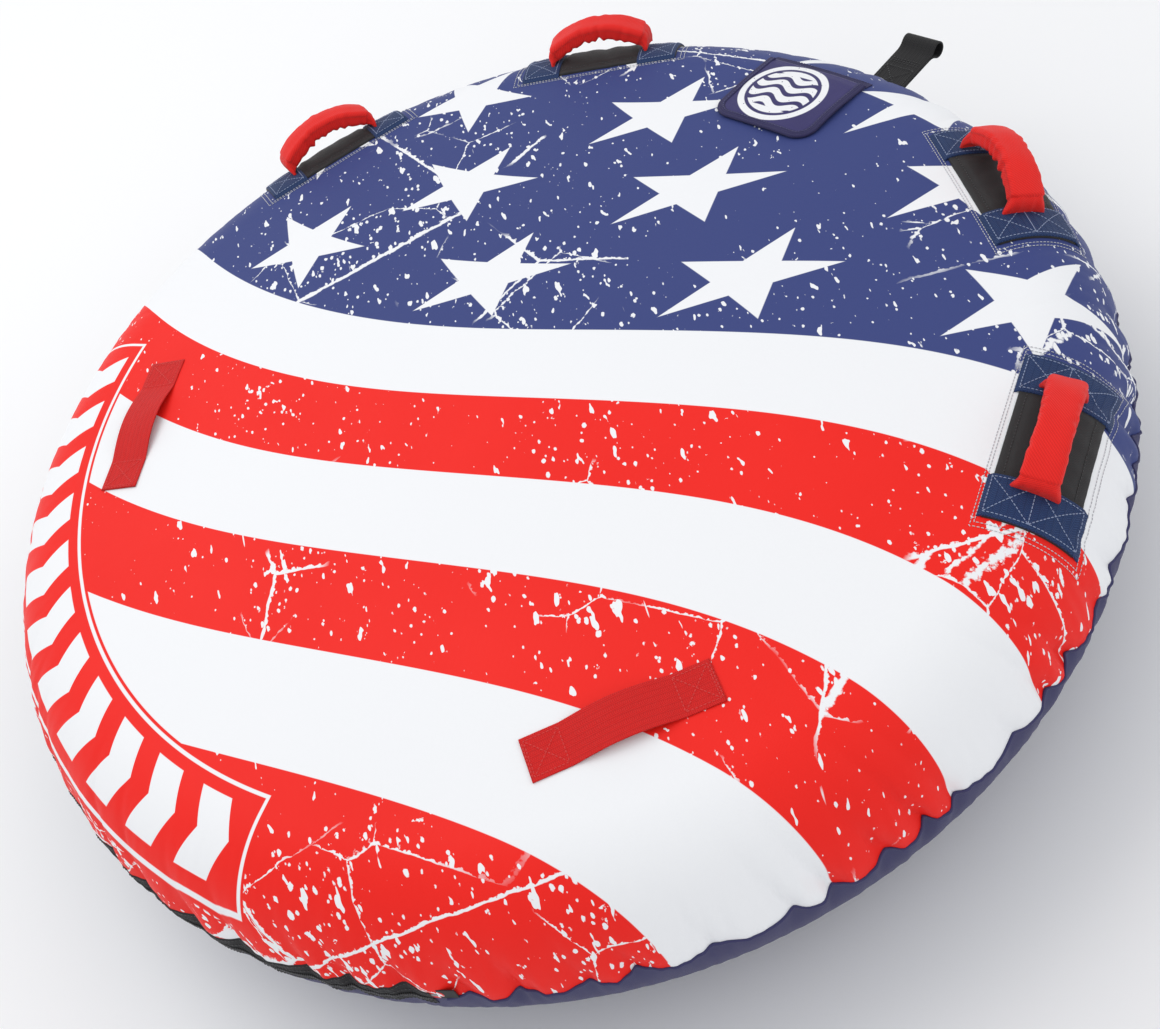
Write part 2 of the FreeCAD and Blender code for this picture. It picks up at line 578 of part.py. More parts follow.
def arch_core(name):
    """The core webbing: one long arc and two corner arcs down to the hinge line, in one sweep.
    Its frame has X along the hinge line and its origin midway between the arch's ends."""
    rise, radius, corner = size("ArchRise"), size("ArchRadius"), size("ArchCornerRadius")
    half = math.radians(size("ArchHalfAngle"))
    side = Vector((radius - corner) * math.sin(half), 0, rise - radius + (radius - corner) * math.cos(half))
    last = math.acos(-side.z / corner)
    points = [Vector(side.x + corner * math.sin(turn), 0, side.z + corner * math.cos(turn))
              for turn in (last, (last + half) / 2, half)]
    mirrored = [Vector(-point.x, 0, point.z) for point in reversed(points)]
    path = Part.Wire([Part.Arc(*points).toShape(),
                      Part.Arc(points[-1], Vector(0, 0, rise), mirrored[0]).toShape(),
                      Part.Arc(*mirrored).toShape()])
    wide, deep = size("CoreWidth") / 2, size("CoreDepth") / 2
    away = Vector(math.sin(last), 0, math.cos(last))
    corners = [points[0] + away * (deep * u) + Vector(0, wide * v, 0)
               for u, v in ((-1, -1), (1, -1), (1, 1), (-1, 1), (-1, -1))]
    core = doc.addObject("Part::Feature", name)
    core.Shape = path.makePipeShell([Part.makePolygon(corners)], True, False)
    return core


# name, side of the deck, row, and how far the arch leans out of the cover's normal as it stands
GRIPS = (("front_left", -1, "Front", -14.0), ("side_left", -1, "Side", -14.0),
         ("side_right", 1, "Side", -8.0), ("front_right", 1, "Front", 0.0))


def grip_place(side, row):
    """Plan radius, angle and turn of a grip; side is -1 on the rider's left."""
    angle, turn = size(row + "GripAngle"), size(row + "GripTurn")
    if side < 0:
        return size("GripPlanRadius"), -angle, turn
    return size("GripPlanRadius"), angle - 180, -turn


def make_grip(label, side, row, lean, pad_layer, web_layer):
    name = "".join(word.capitalize() for word in label.split("_"))
    upright = plumb(*grip_place(side, row))
    plan = block(name + "PadPlan", upright, Length="PadLength", Width="PadWidth", Height="500")
    guard = keep(boolean("Common", name + "Pad", pad_layer, plan), f"grip_{label}_pad")
    for end, sign in (("front", side), ("rear", -side)):
        offset = Vector(sign * (size("PadLength") - size("WebbingWidth")) / 2, 0, 0)
        strip = block(f"{name}{end}WebPlan", upright.multiply(Placement(offset, Rotation())),
                      Length="WebbingWidth", Width="WebLength", Height="500")
        whole = boolean("Common", f"{name}{end}WebWhole", web_layer, strip)
        keep(boolean("Cut", f"{name}{end}Web", whole, guard), f"grip_{label}_web_{end}")

    hinge = on_deck(*grip_place(side, row), size("HingeLevel"), lean)
    drop = Vector(0, 0, size("ArchRise") - size("ArchRadius"))
    arch = hinge.multiply(Placement(drop, Rotation()))
    skin = size("SleeveSkin")
    sleeve = arch_body(name + "Sleeve", sleeve_section(0, ""), sleeve_section(skin, "- SleeveSkin"))
    gap = skin + size("FoamGap")
    foam = arch_body(name + "Foam", sleeve_section(gap, "- SleeveSkin - FoamGap"), slot_section())
    core = arch_core(name + "Core")
    for piece, frame, what in ((sleeve, arch, "sleeve"), (foam, arch, "foam"), (core, hinge, "core")):
        piece.Placement = frame
        keep(piece, f"grip_{label}_{what}")


# ---------------------------------------------------------------- grab straps

def make_strap(label, side):
    """A flat strap sewn down at both ends, with room for fingers under its middle."""
    half, end = size("StrapLength") / 2, size("StrapEnd")
    gap, deep, lift = size("StrapGap"), size("StrapDepth"), size("StrapLift")
    inner = half - end
    body, sketch = new_body(label + "Strap", "XZ_Plane")
    hump = Part.Arc(Vector(-inner, lift, 0), Vector(0, lift + gap, 0), Vector(inner, lift, 0))
    crest = Part.Arc(Vector(-inner - deep, lift + deep, 0), Vector(0, lift + gap + deep, 0),
                     Vector(inner + deep, lift + deep, 0))
    sketch.addGeometry(line((-half, lift), (-inner, lift)))
    sketch.addGeometry(hump)
    sketch.addGeometry(line((inner, lift), (half, lift)))
    sketch.addGeometry(line((half, lift), (half, lift + deep)))
    sketch.addGeometry(line((half, lift + deep), (inner + deep, lift + deep)))
    sketch.addGeometry(crest)
    sketch.addGeometry(line((-inner - deep, lift + deep), (-half, lift + deep)))
    sketch.addGeometry(line((-half, lift + deep), (-half, lift)))
    pad(body, sketch, "StrapWidth", midplane=True)
    angle = size("StrapAngle") if side < 0 else 180 - size("StrapAngle")
    turn = size("StrapTurn") * side
    body.Placement = on_deck(size("StrapPlanRadius"), angle, turn, 0)
    keep(body, "grab_strap_" + label.lower())


# ---------------------------------------------------------------- tow loop

def make_tow_loop(patch_layer, anchor_layer):
    """Two plies of webbing from the front seam, opening into an eye at the far end."""
    ply, eye, spread = size("TowPly"), size("EyeRadius"), math.radians(size("EyeHalfAngle"))
    centre = size("TowReach")
    tip = centre - eye / math.sin(spread)
    shoulder = centre - (eye + ply) / math.sin(spread) + ply / math.tan(spread)
    touch = 90 + size("EyeHalfAngle")
    body, sketch = new_body("TowLoop", "YZ_Plane")
    # the sketch's X is measured back along the loop, so that the loop reaches out to -Y
    outer, inner = eye + ply, eye
    for radius, root, level in ((outer, shoulder, ply), (inner, tip, 0)):
        lead = Vector(math.cos(math.radians(touch)), math.sin(math.radians(touch)), 0) * radius
        high, low = Vector(centre + lead.x, lead.y, 0), Vector(centre + lead.x, -lead.y, 0)
        edges = [Part.LineSegment(high, Vector(root, level, 0)),
                 Part.LineSegment(Vector(root, -level, 0), low),
                 arc((centre, 0), radius, -touch, touch)]
        if level:
            edges += [line((root, level), (0, level)), line((0, -level), (root, -level)),
                      arc((0, 0), level, 90, 270)]
        for edge in edges:
            sketch.addGeometry(edge)
    pad(body, sketch, "WebbingWidth", midplane=True)
    at = Vector(0, -size("TubeRadius") - size("TowGap"), size("SeamHeight"))
    body.Placement = Placement(at, Rotation(Vector(0, 0, 1), 180))
    keep(body, "tow_loop_webbing")

    top = size("SeamHeight") - 3
    for name, wide, tall, height, under, label in (
            ("TowPatch", "PatchWidth", "PatchHeight", size("PatchHeight"), patch_layer,
             "tow_anchor_patch"),
            ("TowAnchor", "WebbingWidth", "AnchorHeight", size("AnchorHeight"), anchor_layer,
             "tow_anchor_webbing")):
        at = Placement(Vector(0, -size("TubeRadius") + 60, top - height), Rotation())
        plan = block(name + "Plan", at, Length=wide, Width="200", Height=tall)
        keep(boolean("Common", name, under, plan), label)


# ---------------------------------------------------------------- the whole tube

make_skins()
make_welt()
patch_over_crown = layer("CrownPatchLayer", crown_outline, "LevelSewn", "LevelPatch")
make_zip(layer("CrownTapeLayer", crown_outline, "LevelSewn", "LevelTape"),
         layer("HullTapeLayer", hull_outline, "LevelSewn", "LevelTape"),
         layer("CrownCoilLayer", crown_outline, "LevelSewn", "LevelCoil"),
         layer("HullCoilLayer", hull_outline, "LevelSewn", "LevelCoil"))
make_zip_ends()
make_slider()
make_valve(patch_over_crown)
make_flap(patch_over_crown)
pad_over_crown = layer("CrownPadLayer", crown_outline, "LevelSewn", "LevelPad")
web_over_crown = layer("CrownWebLayer", crown_outline, "LevelSewn", "LevelWeb")
for grip_label, grip_side, grip_row, grip_lean in GRIPS:
    make_grip(grip_label, grip_side, grip_row, grip_lean, pad_over_crown, web_over_crown)
make_strap("Left", -1)
make_strap("Right", 1)
make_tow_loop(layer("HullPatchLayer", hull_outline, "LevelSewn", "LevelPatch"),
              layer("HullAnchorLayer", hull_outline, "LevelPatch", "LevelAnchor"))
doc.recompute()

for thing in doc.Objects:
    if {"Invalid", "Error"} & set(thing.State):
        raise RuntimeError(f"{thing.Name} did not build: {thing.State}")
for node in nodes:
    if node.Shape.isNull() or not node.Shape.isValid() or not node.Shape.Solids:
        raise RuntimeError(f"{node.Label} has no valid solid")

os.makedirs("parts", exist_ok=True)
for node in nodes:
    node.Shape.exportStep(f"parts/{node.Label}.step")
    print(f"{node.Label}: {len(node.Shape.Solids)} solid, {node.Shape.Volume / 1000:.2f} cm3")
print(len(nodes), "nodes")
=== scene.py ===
"""Looks of the towable tube: its two-panel printed cover with the gathered seam, the zip, four padded
grips, two grab straps, the flap over the valve and the tow loop. Lengths are in metres."""
import math

import bpy
import numpy as np
from mathutils import Matrix, Vector


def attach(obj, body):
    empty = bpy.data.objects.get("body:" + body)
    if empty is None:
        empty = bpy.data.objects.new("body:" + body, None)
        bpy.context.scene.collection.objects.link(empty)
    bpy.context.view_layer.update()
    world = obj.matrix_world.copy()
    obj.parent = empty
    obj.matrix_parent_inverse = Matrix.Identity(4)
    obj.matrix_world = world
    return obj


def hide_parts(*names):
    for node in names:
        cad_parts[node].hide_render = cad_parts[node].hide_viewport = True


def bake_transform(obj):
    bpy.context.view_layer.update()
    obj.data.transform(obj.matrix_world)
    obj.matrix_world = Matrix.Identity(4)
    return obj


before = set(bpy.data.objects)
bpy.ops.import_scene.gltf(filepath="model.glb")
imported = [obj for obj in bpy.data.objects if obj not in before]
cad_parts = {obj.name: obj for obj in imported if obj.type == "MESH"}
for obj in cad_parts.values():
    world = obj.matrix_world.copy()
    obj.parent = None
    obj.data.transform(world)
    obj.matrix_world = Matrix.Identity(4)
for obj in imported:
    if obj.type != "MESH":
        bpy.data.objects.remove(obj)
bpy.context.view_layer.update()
rng = np.random.default_rng(11)

TAU = 2 * math.pi
SEAM_RADIUS, SEAM_HEIGHT = 0.650, 0.200
CROWN_RISE, TOP_SHOULDER = 0.1427, 0.1139
BOTTOM_SHOULDER, FLAT_RADIUS = 0.1645, 0.360
VALVE_RADIUS = 0.505
ZIP_FROM, ZIP_TO = math.radians(58.0), math.radians(122.0)
MM = 0.001
SEAM_DROP = 0.0085

# name, side of the deck (-1 is the rider's left), plan angle, turn, lean of the arch at rest
GRIPS = (("front_left", -1, 58.7, 4.5, -14.0), ("side_left", -1, 20.5, 1.0, -14.0),
         ("side_right", 1, 20.5, 1.0, -8.0), ("front_right", 1, 58.7, 4.5, 0.0))
GRIP_RADIUS = 0.581
PAD_HALF, PAD_ACROSS = 0.1025, 0.040
WEB_HALF, WEB_ACROSS = 0.0254, 0.045
STRAP_RADIUS, STRAP_ANGLE, STRAP_TURN = 0.468, 34.3, 2.5

RED = (0.93, 0.020, 0.013, 1)
NAVY = (0.044, 0.062, 0.212, 1)
WHITE = (0.885, 0.895, 0.915, 1)


# ---------------------------------------------------------------- shader sums

class Wire:
    """One output of a material's node, for use in sums."""

    def __init__(self, paint, socket):
        self.paint, self.socket = paint, socket

    def math(self, kind, *values):
        return self.paint.node("Math", {"operation": kind}, values)

    def __add__(self, other):
        return self.math("ADD", self, other)

    def __sub__(self, other):
        return self.math("SUBTRACT", self, other)

    def __mul__(self, other):
        return self.math("MULTIPLY", self, other)

    def __truediv__(self, other):
        return self.math("DIVIDE", self, other)

    def __rsub__(self, other):
        return self.math("SUBTRACT", other, self)

    def __neg__(self):
        return self.math("MULTIPLY", self, -1.0)

    def __abs__(self):
        return self.math("ABSOLUTE", self)

    def most(self, other):
        return self.math("MAXIMUM", self, other)

    def root(self):
        return self.math("SQRT", self)

    def angle_beside(self, other):
        """The angle of a slope that rises by this over a run of other."""
        return self.math("ARCTAN2", self, other)

    def wave(self, length=TAU):
        """A sine of this, as a length along something, with waves of a given length."""
        return self.math("SINE", self * (TAU / length))

    def nearest(self, step):
        """The whole multiple of step that is nearest to this."""
        return self.math("ROUND", self / step) * step

    def shown(self, blur=0.0008):
        """1 where this is above zero and 0 where it is below, with a soft edge of a given width."""
        settings = {"operation": "MULTIPLY_ADD", "use_clamp": True}
        return self.paint.node("Math", settings, (self, 1 / blur, 0.5))

    def rise(self, low, high):
        """0 at low, 1 at high and a smooth climb between them."""
        values = {"Value": self, "From Min": low, "From Max": high}
        return self.paint.node("MapRange", {"interpolation_type": "SMOOTHSTEP"}, values)

    __radd__, __rmul__ = __add__, __mul__


class Paint:
    """A material, and the nodes that make it."""

    def __init__(self, name, colour, roughness=0.6, metallic=0.0, **more):
        self.material = bpy.data.materials.new(name)
        self.material.use_nodes = True
        self.tree = self.material.node_tree
        self.shader = self.tree.nodes["Principled BSDF"]
        self.shader.inputs["Metallic"].default_value = metallic
        for socket, value in more.items():
            self.shader.inputs[socket.replace("_", " ")].default_value = value
        self.feed("Base Color", colour)
        self.feed("Roughness", roughness)
        self.material.diffuse_color = colour

    def node(self, kind, settings, values, output=0):
        made = self.tree.nodes.new("ShaderNode" + kind)
        for name, value in settings.items():
            setattr(made, name, value)
        for key, value in values.items() if isinstance(values, dict) else enumerate(values):
            if isinstance(value, Wire):
                self.tree.links.new(value.socket, made.inputs[key])
            else:
                made.inputs[key].default_value = value
        return Wire(self, made.outputs[output])

    def feed(self, socket, value):
        if isinstance(value, Wire):
            self.tree.links.new(value.socket, self.shader.inputs[socket])
        else:
            self.shader.inputs[socket].default_value = value

    def mix(self, share, low, high):
        return self.node("Mix", {"data_type": "RGBA"}, {0: share, 6: low, 7: high}, 2)

    def place(self):
        """Where a point is on the object, as a vector and as x, y and z."""
        at = self.node("TexCoord", {}, {}, "Object")
        return at, *(self.node("SeparateXYZ", {}, (at,), n) for n in range(3))

    def lay(self, name="lay"):
        """Where a point is on the flat cloth, as a vector and as its lengths along and across."""
        at = self.node("Attribute", {"attribute_name": name}, {}, "Vector")
        return at, *(self.node("SeparateXYZ", {}, (at,), n) for n in range(2))

    def join(self, x, y, z=0.0):
        return self.node("CombineXYZ", {}, (x, y, z))

    def noise(self, at, scale, detail=2.0, roughness=0.5):
        values = {"Vector": at, "Scale": scale, "Detail": detail, "Roughness": roughness}
        return self.node("TexNoise", {}, values, "Fac")

    def cells(self, at, scale, feature="F1", output="Distance"):
        values = {"Vector": at, "Scale": scale}
        return self.node("TexVoronoi", {"feature": feature}, values, output)

    def bump(self, height, distance, strength=1.0):
        values = {"Height": height, "Distance": distance, "Strength": strength}
        self.feed("Normal", self.node("Bump", {}, values))


# ---------------------------------------------------------------- materials

def scuffs(paint, at, x, y):
    """Worn-off print: specks, dust, blots, dashes and long cracks. 1 where the print is gone."""
    wobble = paint.noise(at, 150.0, 3.0)
    drift = paint.noise(at, 34.0, 3.0)
    along, across = x * 0.82 - y * 0.57, x * 0.57 + y * 0.82
    slanted = paint.join(along * 0.6, across)
    rim = (x * x + y * y).rise(0.16, 0.46)
    where = paint.noise(at, 4.2, 2.0) + rim * 0.12

    def spots(scale, low, high, most, blur):
        """Ragged spots, scale of them to a metre at most, and larger where the print is more worn."""
        size = paint.cells(slanted, scale, output="Color")
        middle = paint.cells(slanted, scale) + (wobble - 0.5) * 0.62
        return (where.rise(low, high) * size * size * most - middle).shown(blur)
    specks = spots(38.0, 0.44, 0.74, 0.20, 0.02)
    flecks = paint.noise(paint.join(along * 0.42, across), 78.0, 2.0, 0.5)
    flecks = (flecks + where * 0.20 - 0.775).shown(0.008)
    dust = spots(135.0, 0.30, 0.68, 0.50, 0.06)
    blots = (paint.noise(at, 44.0, 5.0, 0.62) + where * 0.16 - 0.79).shown(0.01)
    dashes = paint.noise(paint.join(along * 9.0, across * 95.0), 1.0, 2.0)
    dashes = (dashes + where * 0.22 - 0.875).shown(0.02)
    bent = paint.join(x + (drift - 0.5) * 0.012, y + (wobble - 0.5) * 0.008)
    crack = paint.cells(bent, 2.3, "DISTANCE_TO_EDGE")
    crack = (wobble * 0.009 - 0.0008 - crack).shown(0.0015) * (where - 0.53).shown(0.02)
    branch = paint.cells(bent, 7.3, "DISTANCE_TO_EDGE")
    branch = (wobble * 0.032 - 0.0110 - branch).shown(0.004) * (where - 0.57).shown(0.03)
    return specks.most(flecks).most(dust).most(blots).most(dashes).most(crack).most(branch)


def rear_band(x, y):
    """A row of chevrons round the rear edge, and the band they stand in: how far a point is outside
    each of them, in metres."""
    first, last, count, middle = 0.36, 1.80, 11, 0.583
    radius = (x * x + y * y).root()
    turn = y.angle_beside(x) - first
    step = (last - first) / count
    along = (turn - step / 2 - (turn - step / 2).nearest(step)) * middle
    across = radius - middle
    chevron = (abs(along + abs(across) * 0.5 - 0.009) - 0.0215).most(abs(across) - 0.037)
    ends = (abs(turn - (last - first) / 2) - (last - first) / 2) * middle
    return chevron.most(ends), (abs(across) - 0.037).most(ends)


def stars(x, v):
    """Five-pointed stars in staggered rows on the waving flag. 1 on a star."""
    row_gap, column_gap, first_row, radius = 0.169, 0.28, -0.190, 0.085
    down = (first_row - v)
    row = down.nearest(row_gap)
    odd = row / (2 * row_gap)
    odd = abs(odd - odd.nearest(1.0)) * 2
    across = x - 0.128 + odd * 0.131
    across = across - across.nearest(column_gap)
    below = down - row
    angle = across.angle_beside(below)
    folded = abs(angle - angle.nearest(TAU / 5))
    reach = (across * across + below * below).root()
    edge = reach * (folded - TAU / 5).math("COSINE", folded - TAU / 5)
    return (0.309 * radius - edge).shown() * (down + row_gap / 2).shown()


def cover_print():
    """A waving flag of stars and stripes, printed on white cloth and worn."""
    paint = Paint("cover print", WHITE, 0.5, Specular_IOR_Level=0.18)
    _, x, y, _ = paint.place()
    at, along, across = paint.lay()
    v = y - (0.142 - y * 0.085) * ((x + 0.065) * 3.307).wave()
    edges = [(v - edge).shown() for edge in (-0.0997, 0.0104, 0.1266, 0.2467, 0.371, 0.5063)]
    red = edges[1] - edges[2] + edges[3] - edges[4] + edges[5]
    navy = 1.0 - edges[0]
    chevron, band = rear_band(x, y)
    inked = 1.0 - scuffs(paint, at, along, across)
    navy = navy * inked * (1.0 - stars(x, v))
    red = red * inked
    red = red.most((0.0200 - band).shown())
    red = red * (1.0 - (0.0165 - band).shown() * (band - 0.0125).shown())
    red = red * (1.0 - (-chevron).shown())
    tint = paint.noise(at, 5.0, 3.0)
    colour = paint.mix(red, WHITE, paint.mix(tint, RED, (0.84, 0.015, 0.010, 1)))
    paint.feed("Base Color", paint.mix(navy, colour, NAVY))
    paint.feed("Roughness", 0.46 + tint * 0.14)
    weave = along.wave(0.0017) * across.wave(0.0017)
    paint.bump(weave * 0.5 + paint.noise(at, 130.0, 3.0) * 2.0, 0.00012, 0.6)
    return paint.material


def plain_cloth(name, colour, darker, roughness=0.6, size=0.0017, depth=0.00012):
    """Close-woven cloth whose colour drifts a little."""
    paint = Paint(name, colour, roughness, Sheen_Weight=0.04, Specular_IOR_Level=0.35)
    at, along, across = paint.lay()
    tint = paint.noise(at, 9.0, 4.0)
    paint.feed("Base Color", paint.mix(tint, colour, darker))
    paint.feed("Roughness", roughness - 0.08 + tint * 0.16)
    weave = along.wave(size) * across.wave(size)
    paint.bump(weave * 0.6 + paint.noise(at, 160.0, 3.0) * 1.6, depth, 0.7)
    return paint.material


def webbing(name, colour, darker, ribs=0.0024, roughness=0.62):
    """Heavy woven tape: close ribs across it in rows that lean one way and then the other."""
    paint = Paint(name, colour, roughness, Sheen_Weight=0.05, Specular_IOR_Level=0.3)
    at, along, across = paint.lay()
    row = 0.0064
    lean = abs(across - across.nearest(row)) * 0.9
    rib = (along + lean).wave(ribs)
    valley = abs(across - across.nearest(row)).rise(0.0, 0.0007)
    shade = (rib * 0.5 + 0.5) * valley
    # painted shade: the colour darkens in the rib troughs and in the valleys between rows, where the bump
    # is low
    paint.feed("Base Color", paint.mix(shade * 0.75 + paint.noise(at, 40.0, 3.0) * 0.25, darker, colour))
    paint.feed("Roughness", roughness + 0.1 - shade * 0.14)
    paint.bump(shade + paint.noise(at, 900.0, 2.0) * 0.3, 0.0005, 0.8)
    return paint.material


def twill(name, colour, darker):
    """Coarse cloth with a slanting rib, and a faint painted shade in the grooves of its weave."""
    paint = Paint(name, colour, 0.7, Sheen_Weight=0.06, Specular_IOR_Level=0.3)
    at, along, across = paint.lay()
    rib = (along + across * 0.8).wave(0.0030) * 0.5 + 0.5
    cross = (along * 0.6 - across).wave(0.0021) * 0.5 + 0.5
    shade = rib * 0.7 + cross * 0.3
    # painted shade: darker where the rib's bump is low
    paint.feed("Base Color", paint.mix(shade * 0.6 + paint.noise(at, 30.0, 3.0) * 0.4, darker, colour))
    paint.feed("Roughness", 0.74 - shade * 0.12)
    paint.bump(shade + paint.noise(at, 700.0, 2.0) * 0.3, 0.0005, 0.75)
    return paint.material


def flap_print():
    """Navy cloth with a round badge: a white ring about a disc crossed by three navy waves."""
    colour, darker = (0.042, 0.034, 0.155, 1), (0.026, 0.022, 0.105, 1)
    paint = Paint("flap print", colour, 0.55, Sheen_Weight=0.1, Specular_IOR_Level=0.25)
    at, along, across = paint.lay()
    x, y = along - 0.008, across + 0.004
    reach = (x * x + y * y).root()
    ring = (0.0042 - abs(reach - 0.0510)).shown()
    crest = y + x.wave(0.043) * 0.0052
    stripe = (0.0036 - abs(crest - crest.nearest(0.0185))).shown()
    disc = (0.0425 - reach).shown()
    mark = ring.most(disc * (1.0 - stripe * (0.033 - abs(y)).shown()))
    worn = (paint.noise(at, 190.0, 3.0, 0.6) - 0.67).shown(0.02)
    cloth = paint.mix(paint.noise(at, 20.0, 3.0), colour, darker)
    paint.feed("Base Color", paint.mix(mark * (1.0 - worn), cloth, WHITE))
    weave = along.wave(0.0016) * across.wave(0.0016)
    paint.bump(weave * 0.6 + mark * 0.8 + paint.noise(at, 200.0, 3.0), 0.00015, 0.8)
    return paint.material


def moulded(name, colour, roughness=0.42, grain=500.0, **more):
    """Moulded plastic, rubber or vinyl with a fine grain and a few rubbed places."""
    paint = Paint(name, colour, roughness, **more)
    at = paint.place()[0]
    rubbed = paint.noise(at, 45.0, 4.0)
    paler = [part * 1.25 + 0.01 for part in colour[:3]] + [1]
    paint.feed("Base Color", paint.mix(rubbed.rise(0.5, 0.8), colour, paler))
    paint.feed("Roughness", roughness - 0.06 + rubbed * 0.16)
    paint.bump(paint.noise(at, grain, 2.0), 0.00006, 0.5)
    return paint.material


def metal(name, colour, roughness=0.3):
    """Plated metal with fine wear."""
    paint = Paint(name, colour, roughness, metallic=1.0)
    at = paint.place()[0]
    worn = paint.noise(at, 260.0, 4.0)
    paint.feed("Base Color", paint.mix(worn, colour, [part * 0.7 for part in colour[:3]] + [1]))
    paint.feed("Roughness", roughness - 0.08 + worn * 0.2)
    paint.bump(paint.noise(at, 900.0, 2.0), 0.00003, 0.5)
    return paint.material


def hook_and_loop():
    """A field of small loops."""
    paint = Paint("hook and loop", (0.03, 0.03, 0.035, 1), 0.85, Sheen_Weight=0.4)
    at = paint.place()[0]
    loops = paint.cells(at, 700.0)
    paint.feed("Base Color", paint.mix(loops, (0.07, 0.07, 0.08, 1), (0.015, 0.015, 0.02, 1)))
    paint.bump(loops + paint.noise(at, 1200.0, 3.0) * 0.5, 0.0009, 1.0)
    return paint.material


def thread(name, colour):
    """Sewing thread: two strands twisted together."""
    paint = Paint(name, colour, 0.6, Sheen_Weight=0.2)
    at, along, across = paint.lay()
    twist = (along * 1.6 + across).wave(0.0011) * 0.5 + 0.5
    darker = [part * 0.6 for part in colour[:3]] + [1]
    # painted shade: darker in the grooves between the twisted strands, where the bump is low
    paint.feed("Base Color", paint.mix(twist * 0.8 + paint.noise(at, 500.0) * 0.2, darker, colour))
    paint.bump(twist, 0.0002, 0.7)
    return paint.material


def foam():
    """Closed-cell foam."""
    paint = Paint("foam", (0.05, 0.05, 0.055, 1), 0.9)
    at = paint.place()[0]
    cell = paint.cells(at, 900.0)
    # painted shade: darker in the hollows of the cells, where the bump is low
    paint.feed("Base Color", paint.mix(cell, (0.02, 0.02, 0.022, 1), (0.07, 0.07, 0.075, 1)))
    paint.bump(cell, 0.0004, 1.0)
    return paint.material


def floor_finish():
    """A plain pale floor."""
    paint = Paint("floor", (0.93, 0.935, 0.945, 1), 0.7)
    at = paint.place()[0]
    paint.feed("Roughness", 0.66 + paint.noise(at, 3.0, 3.0) * 0.1)
    return paint.material


# ---------------------------------------------------------------- the tube's own surface

def turned(theta, radius, height):
    """Points at plan angles, radii and heights about the tube's axis."""
    return np.stack([radius * np.cos(theta), radius * np.sin(theta), height], -1)


def long_arc(rise, reach, shoulder):
    """Radius of the long arc that runs on from a shoulder, and the angle where the two meet."""
    radius = (rise ** 2 + reach ** 2 - shoulder ** 2) / (2 * (rise - shoulder))
    return radius, math.atan2(radius - rise, reach)


TOP_REACH = SEAM_RADIUS - TOP_SHOULDER
DECK_RADIUS, DECK_MEET = long_arc(CROWN_RISE, TOP_REACH, TOP_SHOULDER)
DECK_CENTRE = SEAM_HEIGHT + CROWN_RISE - DECK_RADIUS
DECK_SPAN = TOP_SHOULDER * DECK_MEET + DECK_RADIUS * (math.pi / 2 - DECK_MEET)
HULL_REACH = SEAM_RADIUS - BOTTOM_SHOULDER
BILGE_RADIUS, BILGE_MEET = long_arc(SEAM_HEIGHT, HULL_REACH - FLAT_RADIUS, BOTTOM_SHOULDER)
BILGE_SPAN = BOTTOM_SHOULDER * BILGE_MEET + BILGE_RADIUS * (math.pi / 2 - BILGE_MEET)
HULL_SPAN = BILGE_SPAN + FLAT_RADIUS


def deck_profile(s):
    """Radius, height and the normal's angle above level, at a distance s up the deck from the seam."""
    turn = TOP_SHOULDER * DECK_MEET
    on_shoulder = s < turn
    angle = np.where(on_shoulder, s / TOP_SHOULDER, DECK_MEET + (s - turn) / DECK_RADIUS)
    radius = np.where(on_shoulder, TOP_REACH + TOP_SHOULDER * np.cos(angle), DECK_RADIUS * np.cos(angle))
    height = np.where(on_shoulder, SEAM_HEIGHT + TOP_SHOULDER * np.sin(angle),
                      DECK_CENTRE + DECK_RADIUS * np.sin(angle))
    return radius, height, angle


def hull_profile(s):
    """The same down the underside."""
    turn = BOTTOM_SHOULDER * BILGE_MEET
    on_shoulder = s < turn
    angle = np.where(on_shoulder, s / BOTTOM_SHOULDER, BILGE_MEET + (s - turn) / BILGE_RADIUS)
    angle = np.minimum(angle, math.pi / 2)
    radius = np.where(on_shoulder, HULL_REACH + BOTTOM_SHOULDER * np.cos(angle),
                      FLAT_RADIUS + BILGE_RADIUS * np.cos(angle))
    height = np.where(on_shoulder, SEAM_HEIGHT - BOTTOM_SHOULDER * np.sin(angle),
                      BILGE_RADIUS * (1 - np.sin(angle)))
    flat = s > BILGE_SPAN
    return np.where(flat, HULL_SPAN - s, radius), np.where(flat, 0.0, height), -angle


def deck_distance(radius):
    """Distance from the seam, up the deck, of a point at a plan radius."""
    shoulder = np.arccos(np.clip((radius - TOP_REACH) / TOP_SHOULDER, -1, 1)) * TOP_SHOULDER
    deck = TOP_SHOULDER * DECK_MEET + DECK_RADIUS * (np.arccos(radius / DECK_RADIUS) - DECK_MEET)
    return np.where(radius > DECK_RADIUS * math.cos(DECK_MEET), shoulder, deck)


def make_gathers():
    """Where the seam is gathered in, how deep each gather is and how far it runs in from the seam."""
    gaps = rng.uniform(0.6, 1.6, 72)
    angles = np.concatenate([[0], np.cumsum(gaps)[:-1]]) * TAU / gaps.sum()
    depth = rng.uniform(0.0055, 0.0115, len(angles))
    reach = rng.uniform(0.030, 0.080, len(angles))
    crease = rng.uniform(-0.6, 1.0, len(angles)).clip(0) * 0.0036
    return angles, depth, reach, crease


GATHER_ANGLES, GATHER_DEPTHS, GATHER_REACHES, GATHER_CREASES = make_gathers()
WAVES = [(int(k), rng.uniform(0, TAU), rng.uniform(-60, 60)) for k in rng.integers(110, 330, 9)]
SWELLS = [(rng.uniform(0, TAU), rng.uniform(9, 24), rng.uniform(0, TAU)) for _ in range(7)]


def smooth(x, low, high):
    """0 at low, 1 at high and a smooth climb between them."""
    t = np.clip((x - low) / (high - low), 0, 1)
    return t * t * (3 - 2 * t)


